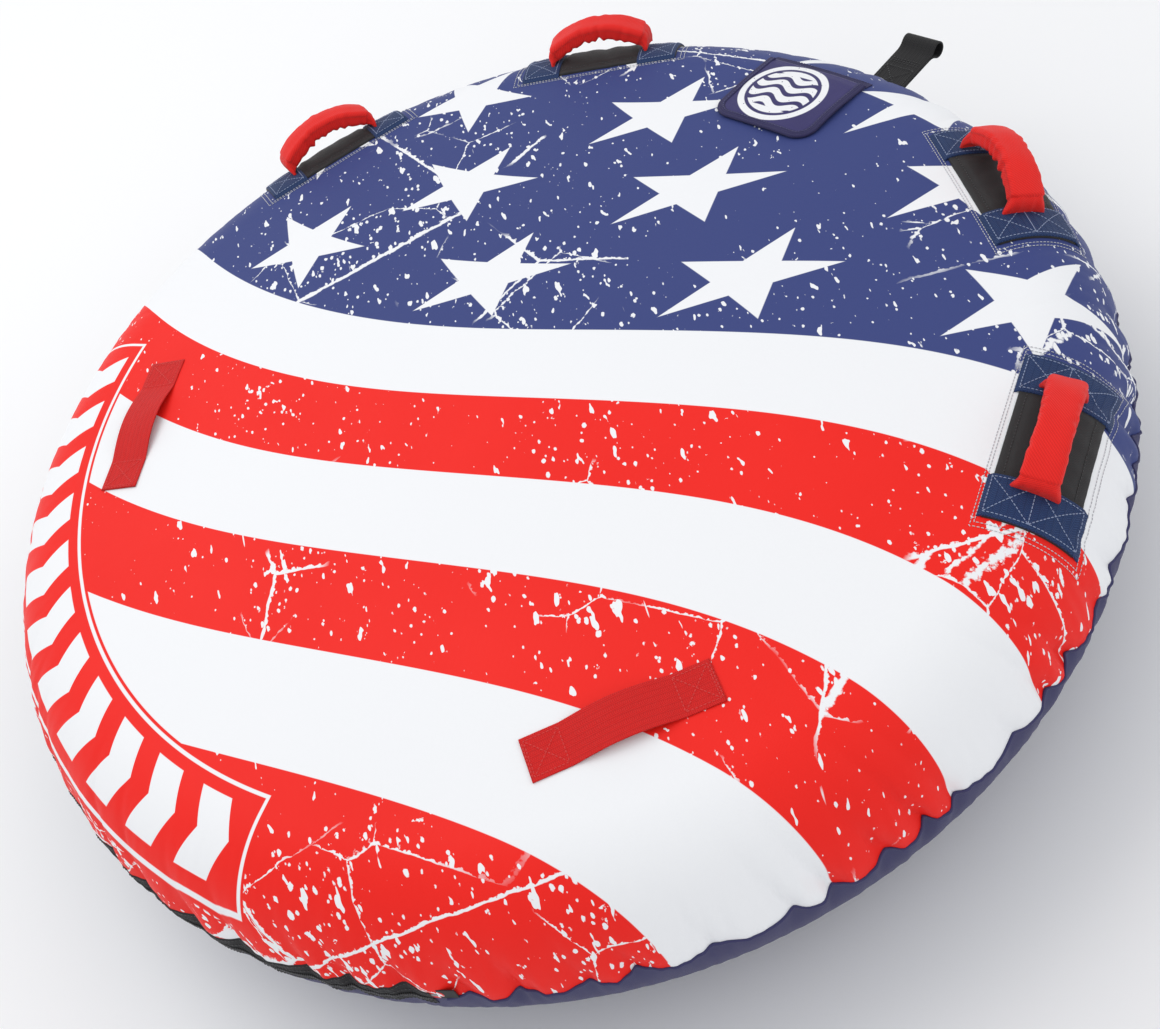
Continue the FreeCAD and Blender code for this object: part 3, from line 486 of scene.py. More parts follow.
def stiffness(theta):
    """How freely the seam gathers: least along the zip, at its slider and behind the tow loop."""
    away = np.abs((theta - math.pi / 2 + math.pi) % TAU - math.pi)
    half = (ZIP_TO - ZIP_FROM) / 2
    free = 0.36 + 0.64 * smooth(away, half, half + 0.1)
    slider = np.abs((theta - math.radians(59.6) + math.pi) % TAU - math.pi)
    tow = np.abs((theta + math.pi / 2 + math.pi) % TAU - math.pi)
    return free * smooth(slider, 0.03, 0.12) * (0.3 + 0.7 * smooth(tow, 0.06, 0.16))


def seam_free(theta):
    """Where the seam may hang a little low: away from the zip's slider and from the tow loop."""
    slider = np.abs((theta - math.radians(59.6) + math.pi) % TAU - math.pi)
    tow = np.abs((theta + math.pi / 2 + math.pi) % TAU - math.pi)
    return smooth(slider, 0.05, 0.3) * smooth(tow, 0.1, 0.3)


def gathered(theta):
    """Height of the folds between gathers, from 0 at a gather to 1 midway, with their depth, their
    reach and the crease that runs on from the nearest gather."""
    angle = theta % TAU
    ring = np.append(GATHER_ANGLES, TAU)
    cell = np.clip(np.searchsorted(ring, angle, side="right") - 1, 0, len(GATHER_ANGLES) - 1)
    after = (cell + 1) % len(GATHER_ANGLES)
    gap = ring[cell + 1] - ring[cell]
    u = (angle - ring[cell]) / gap
    fold = np.sqrt(np.sin(math.pi * u) ** 2 + 0.006)
    depth = GATHER_DEPTHS[cell] * (1 - u) + GATHER_DEPTHS[after] * u
    reach = GATHER_REACHES[cell] * (1 - u) + GATHER_REACHES[after] * u
    beside = np.minimum(u, 1 - u) * gap * SEAM_RADIUS
    crease = np.where(u < 0.5, GATHER_CREASES[cell], GATHER_CREASES[after])
    return fold, depth, reach, crease * np.exp(-(beside / 0.0065) ** 2)


def pucker(theta, s, on_top):
    """How far the cover stands out of its plain shape, and how far it is lifted, near the seam."""
    fold, depth, reach, crease = gathered(theta + (s * 0.5 if on_top else s * 0.3))
    held = 1 - (1 - stiffness(theta)) * np.exp(-(s / (0.009 if on_top else 0.03)) ** 2)
    reach = reach if on_top else reach * 0.55
    swell = 1 + (0.9 if on_top else 0.3) * (s / 0.022) * np.exp(1 - s / 0.022)
    fade = np.exp(-(s / reach) ** 1.6) * swell / 1.5
    out = (fold - 0.74) * depth * fade * held
    out = out - crease * np.exp(-s / 0.075) * held * (1.0 if on_top else 0.3)
    ripples = sum(np.sin(k * theta + phase + slant * s) for k, phase, slant in WAVES)
    out = out + ripples * 0.00028 * np.exp(-s / 0.05) * held
    lift = (0.62 - gathered(theta)[0]) * depth * stiffness(theta) * 1.25 * np.exp(-(s / 0.035) ** 2)
    lift = lift - SEAM_DROP * seam_free(theta) * np.exp(-(s / 0.055) ** 2)
    return out, lift


def deck_skin(theta, s, level=0.0):
    """Points on the deck's cover, or at a level over it, at a plan angle and a distance from the seam."""
    radius, height, lean = deck_profile(s)
    x, y = radius * np.cos(theta), radius * np.sin(theta)
    out, lift = pucker(theta, s, True)
    swell = sum(np.sin((x * math.cos(a) + y * math.sin(a)) * k + p) for a, k, p in SWELLS)
    quiet = smooth(np.hypot(x, y + VALVE_RADIUS), 0.10, 0.2) * smooth(s, 0.01, 0.08)
    rise = out + swell * 0.00022 * quiet + level
    return turned(theta, radius + rise * np.cos(lean), height + rise * np.sin(lean) + lift)


def hull_skin(theta, s, level=0.0):
    """The same on the underside."""
    radius, height, lean = hull_profile(s)
    out, lift = pucker(theta, s, False)
    rise = out + level
    lowered = np.maximum(height + rise * np.sin(lean) + lift, 0.0)
    return turned(theta, radius + rise * np.cos(lean), lowered)


def deck_at(x, y, level=0.0):
    """A point over the deck's cover above a plan position."""
    return deck_skin(np.arctan2(y, x), deck_distance(np.hypot(x, y)), level)


# ---------------------------------------------------------------- mesh making

def grid_faces(rows, columns, closed=False, flipped=False):
    """Four-sided faces over rows of points; closed joins each row's ends."""
    across = columns if closed else columns - 1
    r, c = np.meshgrid(np.arange(rows - 1), np.arange(across), indexing="ij")
    after = (c + 1) % columns
    faces = np.stack([r * columns + c, r * columns + after,
                      (r + 1) * columns + after, (r + 1) * columns + c], -1).reshape(-1, 4)
    return faces[:, ::-1] if flipped else faces


def tube_faces(rings, around, flipped=False):
    """Faces round a tube of rings, with a cap on each end."""
    end = np.arange(around)
    caps = [end[::-1], end + (rings - 1) * around]
    if flipped:
        caps = [cap[::-1] for cap in caps]
    return [*grid_faces(rings, around, closed=True, flipped=flipped), *caps]


def lengths(path):
    """Distance along a path to each of its points."""
    return np.concatenate([[0], np.cumsum(np.linalg.norm(np.diff(path, axis=0), axis=1))])


def sideways(line):
    """Unit normals of a flat line, on its left."""
    step = np.gradient(line, axis=0)
    normal = np.stack([-step[:, 1], step[:, 0]], -1)
    return normal / np.linalg.norm(normal, axis=1)[:, None]


def rolled(inside, edge):
    """0 at an edge and 1 further in than edge, rounded like a rolled hem."""
    return np.sqrt(np.clip(1 - (1 - np.clip(inside / edge, 0, 1)) ** 2, 0, 1))


def piece(name, points, faces, material, lay=None, body="tube"):
    """A mesh object that rides on a body, unless body is None."""
    points = np.asarray(points, float).reshape(-1, 3)
    mesh = bpy.data.meshes.new(name)
    faces = [list(map(int, face)) for face in faces]
    mesh.from_pydata(points.tolist(), [], faces)
    mesh.polygons.foreach_set("use_smooth", [True] * len(faces))
    if lay is not None:
        lay = np.asarray(lay, np.float32)
        flat = np.zeros((len(points), 3), np.float32)
        flat[:, :lay.shape[-1]] = lay.reshape(len(points), -1)
        mesh.attributes.new("lay", "FLOAT_VECTOR", "POINT").data.foreach_set("vector", flat.ravel())
    mesh.materials.append(material)
    mesh.validate()
    made = bpy.data.objects.new(name, mesh)
    bpy.context.scene.collection.objects.link(made)
    if body:
        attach(made, body)
    return made


BACK_FACE = (2.0, 0.0)


def slab(name, top, bottom, material, lay, slot, body="tube"):
    """A closed solid between two grids of points, each of rows by columns. Its back lies apart, so
    that a print stays on the front."""
    rows, columns = top.shape[:2]
    count = rows * columns
    faces = [grid_faces(rows, columns), grid_faces(rows, columns, flipped=True) + count]
    last_row, last_column = rows - 1, columns - 1
    border = [(0, c) for c in range(last_column)] + [(r, last_column) for r in range(last_row)]
    border += [(last_row, c) for c in range(last_column, 0, -1)] + [(r, 0) for r in range(last_row, 0, -1)]
    ids = [r * columns + c for r, c in border]
    sides = [[b, a, a + count, b + count] for a, b in zip(ids, ids[1:] + ids[:1])]
    points = np.concatenate([top.reshape(-1, 3), bottom.reshape(-1, 3)])
    both = np.concatenate([lay.reshape(count, -1), lay.reshape(count, -1) + BACK_FACE])
    every = [*faces[0], *faces[1], *sides]
    return piece(name, points, every, material, both, body)


def stepped(half, step, edge=0.0016):
    """Places from -half to half, close together at both ends."""
    inner = np.linspace(-half + edge, half - edge, max(3, int(2 * half / step)))
    start = -half + edge * np.array([0.0, 0.12, 0.45])
    return np.concatenate([start, inner, -start[::-1]])


def plan_frame(radius, angle, turn):
    """Centre and axes in plan of something sewn to the deck: u runs along it and v runs inward."""
    at, along = math.radians(angle), math.radians(angle + turn + 90)
    centre = np.array([radius * math.cos(at), radius * math.sin(at)])
    u = np.array([math.cos(along), math.sin(along)])
    return centre, u, np.array([-u[1], u[0]])


def sewn_at(plan):
    """The map from a place along and across a sewn piece, and a level, to a point over the deck."""
    centre, u_axis, v_axis = plan

    def where(u, v, level):
        xy = centre + np.multiply.outer(u, u_axis) + np.multiply.outer(v, v_axis)
        return deck_at(xy[..., 0], xy[..., 1], level)
    return where


CLOTH_EDGE = 0.0016


def sewn_patch(name, where, half_u, half_v, top, floor, material, centre_u=0.0, step=0.0035):
    """A sewn piece of cloth with rolled edges: top gives its level and floor is where its edge lands."""
    u, v = np.meshgrid(stepped(half_u, step), stepped(half_v, step), indexing="ij")
    inside = np.minimum(half_u - np.abs(u), half_v - np.abs(v))
    roll = rolled(inside, CLOTH_EDGE)
    land = floor(u + centre_u, v)
    level = land + (top(u + centre_u, v) - land) * roll
    points = where(u + centre_u, v, level)
    lay = np.stack([u, v], -1)
    return piece(name, points, grid_faces(*u.shape), material, lay)


# along a stitch: its place as a share of its length, its girth, and how far it stands out
STITCH_RINGS = ((-0.5, 0.45, -0.4), (-0.3, 1.0, 0.3), (0.3, 1.0, 0.3), (0.5, 0.45, -0.4))
STITCH_SIDES, STITCH_FLATNESS = 6, 0.7


def stitches(name, runs, material, body="tube", pitch=0.0042, length=0.0031, wide=0.0006):
    """One mesh of many stitches. Each run is its points and the surface's normals at them."""
    points, lay, faces = [], [], []
    one_stitch = tube_faces(len(STITCH_RINGS), STITCH_SIDES, flipped=True)

    def taken(values, at, where):
        return np.stack([np.interp(where, at, values[:, n]) for n in range(3)], -1)

    for path, normals in runs:
        at = lengths(path)
        for m in np.arange(pitch / 2, at[-1], pitch):
            before, middle, after = taken(path, at, np.array([m - length / 2, m, m + length / 2]))
            up = taken(normals, at, np.array([m]))[0]
            tangent = after - before
            tangent = tangent / max(np.linalg.norm(tangent), 1e-9)
            side = np.cross(up, tangent)
            side = side / max(np.linalg.norm(side), 1e-9)
            faces.extend(face + len(points) for face in one_stitch)
            for share, fat, raised in STITCH_RINGS:
                for a in range(STITCH_SIDES):
                    turn = a * TAU / STITCH_SIDES
                    offset = side * math.cos(turn) + up * (math.sin(turn) * STITCH_FLATNESS)
                    points.append(middle + tangent * (share * length) + up * (raised * wide)
                                  + offset * (wide * fat))
                    lay.append((share * length, a * wide))
    return piece(name, points, faces, material, np.array(lay), body)


def run_on(where, corners, level, step=0.002):
    """A line of sewing through corners, given along and across a piece, with its normals."""
    places = []
    for (u0, v0), (u1, v1) in zip(corners, corners[1:]):
        count = max(2, int(math.hypot(u1 - u0, v1 - v0) / step))
        t = np.linspace(0, 1, count, endpoint=False)
        places.append(np.stack([u0 + (u1 - u0) * t, v0 + (v1 - v0) * t], -1))
    places = np.concatenate(places + [np.array([corners[-1]])])
    u, v = places[:, 0], places[:, 1]
    height = level(u, v) if callable(level) else np.full(len(u), level)
    low, high = where(u, v, height), where(u, v, height + MM)
    return low, (high - low) / MM


def box_and_cross(u0, u1, v0, v1):
    """Corners of a sewn box and of the cross inside it."""
    box = [(u0, v0), (u1, v0), (u1, v1), (u0, v1), (u0, v0)]
    return box, [(u0, v0), (u1, v1)], [(u0, v1), (u1, v0)]


# ---------------------------------------------------------------- cover, bladder and seam

def open_hole(theta, s, hole, reach=0.080):
    """Spreads the grid's points round the valve so that a hole opens there. Also gives each point's
    old distance from the valve."""
    radius = deck_profile(s)[0]
    x, y = radius * np.cos(theta), radius * np.sin(theta)
    dx, dy = x, y + VALVE_RADIUS
    far = np.hypot(dx, dy)
    core = 0.004
    grown = hole + np.clip(far - core, 0, None) * (reach - hole) / (reach - core)
    scale = np.where(far < reach, grown / np.maximum(far, 1e-6), 1.0)
    x, y = dx * scale, dy * scale - VALVE_RADIUS
    return np.arctan2(y, x), deck_distance(np.hypot(x, y)), far


def make_disc(name, skin, span, columns, rows, material, hole=None, down=False):
    """A round panel from the seam to the middle, in rings that crowd towards the seam."""
    crowding, middle_gap, torn_within = 1.7, 0.003, 0.006
    s_rows = span * np.linspace(0, 1, rows) ** crowding
    s_rows[-1] = span - middle_gap
    s, theta = np.meshgrid(s_rows, np.arange(columns) * TAU / columns, indexing="ij")
    far = np.full(s.shape, 1.0)
    if hole:
        theta, s, far = open_hole(theta, s, hole)
    points = skin(theta, s)
    faces = grid_faces(rows, columns, closed=True, flipped=down)
    keep = (far.reshape(-1)[faces] > torn_within).all(1)
    points = np.concatenate([points.reshape(-1, 3), [[0, 0, points[-1, :, 2].mean()]]])
    last, middle = (rows - 1) * columns, rows * columns
    fan = [(last + c, last + (c + 1) % columns, middle) for c in range(columns)]
    fan = [face[::-1] for face in fan] if down else fan
    flat = np.stack([(span - s) * np.cos(theta), (span - s) * np.sin(theta)], -1).reshape(-1, 2)
    flat = np.concatenate([flat, [[0, 0]]])
    return piece(name, points, [*faces[keep], *fan], material, flat)


def panel_area(profile, span):
    """Area of a panel, as rings from the seam to the middle."""
    return float(profile(np.linspace(0, span, 400))[0].mean() * span * TAU)


def make_cover(look):
    """The printed top panel, with its hole over the valve, and the plain one under it."""
    top = make_disc("cover_deck", deck_skin, DECK_SPAN, 1200, 120, look["print"],
                    hole=0.0318)
    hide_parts("cover_top_panel")
    2 * DECK_SPAN
    2 * DECK_SPAN
    panel_area(deck_profile, DECK_SPAN)
    bottom = make_disc("cover_underside", hull_skin, HULL_SPAN, 1200, 84, look["under"],
                       down=True)
    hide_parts("cover_bottom_panel")
    2 * HULL_SPAN
    2 * HULL_SPAN
    panel_area(hull_profile, HULL_SPAN)


def make_bladder(look):
    """The air bladder, which stands clear of the cover's gathers."""
    gap, more_at_seam, fade = 0.0026, 0.016, 0.07

    def inner_skin(profile):
        def skin(theta, s):
            radius, height, lean = profile(s)
            back = gap + more_at_seam * np.exp(-(s / fade) ** 2)
            return turned(theta, radius - back * np.cos(lean), height - back * np.sin(lean))
        return skin

    upper = make_disc("bladder_upper", inner_skin(deck_profile), DECK_SPAN, 360, 60, look["vinyl"],
                      hole=0.0165)
    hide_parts("bladder_upper_sheet")
    lower = make_disc("bladder_lower", inner_skin(hull_profile), HULL_SPAN, 360, 50, look["vinyl"],
                      down=True)
    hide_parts("bladder_lower_sheet")


def seam_line(theta, level):
    """Points along the seam where the two panels meet."""
    deck = deck_skin(theta, np.zeros_like(theta), level)
    hull = hull_skin(theta, np.zeros_like(theta), level)
    return (deck + hull) / 2


def make_welt(look):
    """Corded piping in the seam, all the way round but for the zip."""
    columns, sides, radius = 1500, 10, 0.0019
    after_zip, before_zip, stand_off = 0.02, 0.045, 0.0004
    theta = np.linspace(ZIP_TO + after_zip, ZIP_FROM - before_zip + TAU, columns)[:, None]
    turn = np.arange(sides) * TAU / sides
    ring = turned(theta, np.cos(turn) * radius, np.sin(turn) * radius + 0 * theta)
    points = seam_line(theta[:, 0], stand_off)[:, None] + ring
    lay = np.stack(np.broadcast_arrays(theta * SEAM_RADIUS, turn * radius), -1)
    welt = piece("seam_piping", points, grid_faces(columns, sides, closed=True), look["under"], lay)
    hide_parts("seam_welt")


# across a tape: how far a place is from the seam, and its level over the cover
ZIP_TAPE = ((0.0012, 0.0002), (0.0014, 0.0008), (0.0022, 0.0011), (0.0040, 0.0010), (0.0070, 0.0010),
            (0.0100, 0.0010), (0.0125, 0.0010), (0.0130, 0.0008), (0.0136, 0.0001))
ZIP_SEWING = (0.0062, 0.0116)
# along a tooth: how far it reaches past the seam, half its width and half its height
ZIP_TOOTH = ((-0.0010, 0.0005, 0.0008), (0.0003, 0.0008, 0.0011), (0.0019, 0.0006, 0.0010),
             (0.0027, 0.0004, 0.0005))
TOOTH_CORNERS = ((-1, -1), (1, -1), (1, 1), (-1, 1))


def make_zip_tape(label, skin, look):
    """One tape on its panel, with two rows of sewing."""
    theta = np.linspace(ZIP_FROM, ZIP_TO, 520)
    s, level = np.array(ZIP_TAPE).T
    grid_t, grid_s = np.meshgrid(theta, s, indexing="ij")
    faces = grid_faces(*grid_t.shape, flipped=label == "lower")
    lay = np.stack([grid_t * SEAM_RADIUS, grid_s], -1)
    tape = piece(f"zip_{label}_tape", skin(grid_t, grid_s, level[None]), faces, look["zip tape"], lay)
    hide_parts(f"zip_tape_{label}")
    runs = []
    for distance in ZIP_SEWING:
        low, high = (skin(theta, np.full_like(theta, distance), level) for level in (0.0011, 0.0021))
        runs.append((low, (high - low) / MM))
    stitches(f"zip_{label}_sewing", runs, look["black thread"])


def make_zip_teeth(label, sign, look):
    """One row of teeth, half a step on from the other row."""
    count, half_step = 300, 0.00185
    places = np.linspace(ZIP_FROM + 0.012, ZIP_TO - 0.006, count) + (half_step if sign > 0 else 0)
    one_tooth = tube_faces(len(ZIP_TOOTH), len(TOOTH_CORNERS), flipped=sign < 0)
    points, faces, lay = [], [], []
    for t in places:
        centre = seam_line(np.array([t]), 0.0013)[0]
        out = np.array([math.cos(t), math.sin(t), 0])
        along = np.array([-out[1], out[0], 0])
        faces.extend(face + len(points) for face in one_tooth)
        for reach, half, high in ZIP_TOOTH:
            for a, b in TOOTH_CORNERS:
                past_seam = np.array([0, 0, sign * reach])
                points.append(centre + along * (a * half) + out * (b * high) + past_seam)
                lay.append((t, reach))
    teeth = piece(f"zip_{label}_teeth", points, faces, look["zip coil"], np.array(lay))
    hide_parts(f"zip_coil_{label}")


def make_zip(look):
    """Tapes on both panels, with sewing, and two rows of teeth that interlock."""
    for label, skin in (("upper", deck_skin), ("lower", hull_skin)):
        make_zip_tape(label, skin, look)
    for label, sign in (("upper", 1.0), ("lower", -1.0)):
        make_zip_teeth(label, sign, look)


# ---------------------------------------------------------------- grips

def pad_level(u, v):
    """The pad's face: pressed down under the webs, full between them, with a sewn line inside its edge."""
    under_web = smooth(np.abs(u), PAD_HALF - 2 * WEB_HALF - 0.008, PAD_HALF - 2 * WEB_HALF)
    full = 1 - (v / PAD_ACROSS) ** 4
    line = np.exp(-((np.abs(v) - PAD_ACROSS + 0.0085) / 0.0016) ** 2)
    level = 0.0029 + (1 - under_web) * (0.0024 * full - 0.0011 * line)
    return level + (1 - under_web) * 0.0003 * np.sin(u * 210 + np.sin(v * 90) * 1.4)


def web_level(u, v):
    """The cross web, which lies on the pad and steps down off its sides."""
    drop = smooth(np.abs(v), PAD_ACROSS - 0.0008, PAD_ACROSS + 0.0028)
    return 0.0047 - drop * 0.0028 + 0.00015 * np.sin(v * 160 + u * 40)


def grip_plan(side, angle, turn):
    """A grip's place for deck_frame: the same on both sides, but mirrored."""
    return (GRIP_RADIUS, -angle, turn) if side < 0 else (GRIP_RADIUS, angle - 180, -turn)


def deck_frame(radius, angle, turn, level, lean=0.0):
    """A frame over the deck: X runs along the piece, -Y outward and Z up, leaned outward by lean."""
    centre, u, v = plan_frame(radius, angle, turn)
    s = float(deck_distance(np.array(radius)))
    _, height, up = (float(x) for x in deck_profile(np.array(s)))
    tilt = math.pi / 2 - up
    outward = Vector((-v[0], -v[1], 0))
    normal = outward * math.sin(tilt) + Vector((0, 0, math.cos(tilt)))
    origin = Vector((centre[0], centre[1], height)) + normal * level
    tilt = tilt + math.radians(lean)
    z_axis = outward * math.sin(tilt) + Vector((0, 0, math.cos(tilt)))
    x_axis = Vector((u[0], u[1], 0))
    y_axis = z_axis.cross(x_axis)
    return np.array(origin), np.array([x_axis, y_axis, z_axis])


ARCH_RISE, ARCH_RADIUS, ARCH_HALF, ARCH_CORNER = 0.030, 0.095, math.radians(36), 0.016
SLEEVE_WIDE, SLEEVE_DEEP = 0.0405, 0.0205


def section(count, wide, deep, rounding):
    """Points round a rounded rectangle, as across and up, starting at the middle of its right side."""
    corners = ((1, 1, 0), (-1, 1, 1), (-1, -1, 2), (1, -1, 3))
    line = []
    for sx, sy, quarter in corners:
        for t in np.linspace(0, 1, 5):
            turn = (quarter + t) * math.pi / 2
            line.append((sx * (wide / 2 - rounding) + rounding * math.cos(turn),
                         sy * (deep / 2 - rounding) + rounding * math.sin(turn)))
    line = np.array(line + line[:1])
    at = lengths(line)
    where = np.linspace(0, at[-1], count, endpoint=False)
    return np.stack([np.interp(where, at, line[:, n]) for n in range(2)], -1), where


def make_bar(label, origin, axes, look, seed, of_foam=False):
    """The padded grip: its foam block, or the twill round it, puckered inside by the bend."""
    rings, around = (40, 32) if of_foam else (90, 72)
    shrink, folded = (0.0060, 0.0) if of_foam else (0.0, 1.0)
    own = np.random.default_rng(seed)
    phases = own.uniform(0, TAU, 6)
    shape, girth = section(around, SLEEVE_WIDE - shrink, SLEEVE_DEEP - shrink, 0.0052 - shrink / 2)
    across, deep = shape[:, 0], shape[:, 1]
    turns = np.linspace(-ARCH_HALF, ARCH_HALF, rings)
    points, lay = [], []
    ends = ((0.006, 0.25), (0.004, 0.72), (0.0016, 0.95))
    if of_foam:
        ends = ((0.001, 0.4), (0.0008, 0.8), (0.0004, 0.97))
    stations = ([(-ARCH_HALF, -push, share) for push, share in ends] + [(t, 0.0, 1.0) for t in turns]
                + [(ARCH_HALF, push, share) for push, share in ends[::-1]])
    for turn, push, share in stations:
        inner = smooth(-deep, -0.002, 0.009)
        bend = np.exp(-(turn / 0.42) ** 2)
        fold = folded * sum(np.cos(turn * k + p + across * slant) for k, p, slant in
                            zip((26, 34, 43, 57), phases, (18, -25, 30, -12)))
        creased = inner * bend * (-0.0011 + 0.00085 * fold)
        soft = 0.00035 * np.sin(turn * 15 + phases[4] + girth * 60)
        soft = soft + 0.0003 * np.sin(girth * 230 + phases[5])
        rounder = np.where(deep > 0, 0.0012, -0.0004) * smooth(np.abs(deep), 0.007, 0.010)
        rounder = rounder * (1 - (across / (SLEEVE_WIDE / 2)) ** 2)
        raised = smooth(np.abs(across), 0.006, 0.018) * smooth(-deep, 0.0, 0.008)
        raised = 0.0018 * raised * smooth(abs(turn), ARCH_HALF - 0.3, ARCH_HALF - 0.05)
        radius = ARCH_RADIUS + share * (deep + rounder + raised + soft - creased)
        waist = 1 - 0.12 * math.exp(-(turn / 0.42) ** 2)
        edge = np.sign(across) * smooth(np.abs(across), 0.008, 0.018) * bend * fold * 0.0005
        wide = share * (across * waist + edge)
        x = radius * math.sin(turn) + push * math.cos(turn)
        z = ARCH_RISE - ARCH_RADIUS + radius * math.cos(turn) - push * math.sin(turn)
        points.append(origin + np.stack([x, wide, z], -1) @ axes)
        lay.append(np.stack([np.full(around, turn * ARCH_RADIUS + push), girth], -1))
    faces = tube_faces(len(stations), around, flipped=True)
    name, finish, slot, node = (("block", "foam", "grip_foam", "foam") if of_foam
                                else ("cover", "twill", "grip_sleeve", "sleeve"))
    bar = piece(f"grip_{label}_{name}", np.array(points), faces, look[finish], np.array(lay),
                f"grip_{label}")
    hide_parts(f"grip_{label}_{node}")


def make_cuffs(label, hinge, upright, look, seed):
    """The folded cloth at both ends of a grip, which narrows from the sleeve down to the web."""
    around, rings = 40, 30
    own = np.random.default_rng(seed)
    points, lay, faces = [], [], []
    side_x = (ARCH_RADIUS - ARCH_CORNER) * math.sin(ARCH_HALF)
    side_z = ARCH_RISE - ARCH_RADIUS + (ARCH_RADIUS - ARCH_CORNER) * math.cos(ARCH_HALF)
    for end in (-1, 1):
        first = len(points) * around
        phase = own.uniform(0, TAU, 3)
        for ring in range(rings):
            t = ring / (rings - 1)
            if t < 0.2:
                turn = math.radians(32) + (ARCH_HALF - math.radians(32)) * t / 0.2
                x, z = ARCH_RADIUS * math.sin(turn), ARCH_RISE - ARCH_RADIUS + ARCH_RADIUS * math.cos(turn)
            elif t < 0.86:
                turn = ARCH_HALF + (math.pi / 2 - ARCH_HALF) * (t - 0.2) / 0.66
                x, z = side_x + ARCH_CORNER * math.sin(turn), side_z + ARCH_CORNER * math.cos(turn)
            else:
                turn = math.pi / 2
                x, z = side_x + ARCH_CORNER, side_z - 0.0028 * (t - 0.86) / 0.14
            foot = float(smooth(np.array(t), 0.25, 0.95))
            wide = 0.0385 + 0.0115 * foot
            deep = 0.0185 * (1 - foot) + 0.0042 * foot
            shape, girth = section(around, wide, deep, 0.42 * deep)
            across, up = shape[:, 0], shape[:, 1]
            folds = 0.0007 * np.sin(across * 520 + phase[0]) + 0.0005 * np.sin(across * 830 + phase[1])
            up = up + folds * np.sign(up) * (0.4 + foot * 0.6) * math.sin(math.pi * min(1, t * 1.1)) ** 0.5
            local_x = end * (x + up * math.sin(turn))
            sag = across ** 2 / (2 * TOP_SHOULDER) * foot
            local = np.stack([local_x, across, z + up * math.cos(turn) - sag], -1)
            tilted = hinge[0] + local @ hinge[1]
            straight = upright[0] + local @ upright[1]
            points.append(straight * foot + tilted * (1 - foot))
            lay.append(np.stack([np.full(around, t * 0.04), girth], -1))
        faces.extend(face + first for face in tube_faces(rings, around, flipped=end > 0))
    cuffs = piece(f"grip_{label}_cuffs", np.array(points), faces, look["twill"], np.array(lay),
                  None)
    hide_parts(f"grip_{label}_core")
    up = upright[1][2]
    base = upright[0] - up * 0.0045
    tuple(base + up * 0.020)
    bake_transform(cuffs)


def make_grip(number, label, side, angle, turn, lean, look):
    """Pad, two cross webs with their sewing, the sewing round the pad, sleeve and cuffs."""
    plan = grip_plan(side, angle, turn)
    where = sewn_at(plan_frame(*plan))
    ground = lambda u, v: np.full(np.shape(u), 0.0001)
    pad = sewn_patch(f"grip_{label}_guard", where, PAD_HALF, PAD_ACROSS, pad_level, ground,
                     look["pad"])
    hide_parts(f"grip_{label}_pad")
    white, blue, black = [], [], []
    for end, sign in (("front", side), ("rear", -side)):
        middle = sign * (PAD_HALF - WEB_HALF)
        web = sewn_patch(f"grip_{label}_{end}_web", where, WEB_HALF - 0.0004, WEB_ACROSS, web_level,
                         lambda u, v: pad_floor(v), look["navy webbing"], middle)
        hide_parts(f"grip_{label}_web_{end}")
        inset, deep = WEB_HALF - 0.0045, WEB_ACROSS - 0.0050
        for v0, v1 in ((-deep, 0.0), (0.0, deep)):
            corners = box_and_cross(middle - inset, middle + inset, v0, v1)
            blue += [run_on(where, line, lambda u, v: web_level(u, v) + 0.0001) for line in corners]
    half_v = PAD_ACROSS - 0.0085
    for v in (-half_v, half_v):
        black.append(run_on(where, [(-0.05, v), (0.05, v)], lambda a, b: pad_level(a, b) + 0.0002))
    for gap in (0.0065, 0.0105):
        u, v = PAD_HALF + gap, PAD_ACROSS + gap * 0.8
        u = u + (0.0 if gap < 0.01 else 0.001)
        corners = [(-u, -v), (u, -v), (u, v), (-u, v), (-u, -v)]
        white.append(run_on(where, corners, 0.00035))
    stitches(f"grip_{label}_web_sewing", blue, look["pale thread"], wide=0.00052)
    stitches(f"grip_{label}_white_sewing", white, look["white thread"], wide=0.0005)
    stitches(f"grip_{label}_black_sewing", black, look["black thread"])
    hinge = deck_frame(*plan, 0.008, lean)
    upright = deck_frame(*plan, 0.008)
    make_bar(label, hinge[0], hinge[1], look, 40 + number)
    make_bar(label, hinge[0], hinge[1], look, 40 + number, of_foam=True)
    make_cuffs(label, hinge, upright, look, 60 + number)


def pad_floor(v):
    """Where a web's edge lands: on the pad, or on the cover beyond it."""
    return 0.0028 - 0.0027 * smooth(np.abs(v), PAD_ACROSS - 0.0008, PAD_ACROSS + 0.002)


# ---------------------------------------------------------------- grab straps

def strap_line(count=70):
    """Places along a grab strap and the height of its underside: flat ends and a low hump."""
    half, flat, gap = 0.097, 0.057, 0.0088
    u = np.concatenate([np.linspace(-half, -flat, 16), np.linspace(-flat, flat, count)[1:-1],
                        np.linspace(flat, half, 16)])
    inside = np.clip(1 - np.abs(u) / flat, 0, 1)
    rise = gap * (1 - (1 - inside) ** 2) ** 1.3
    return u, rise


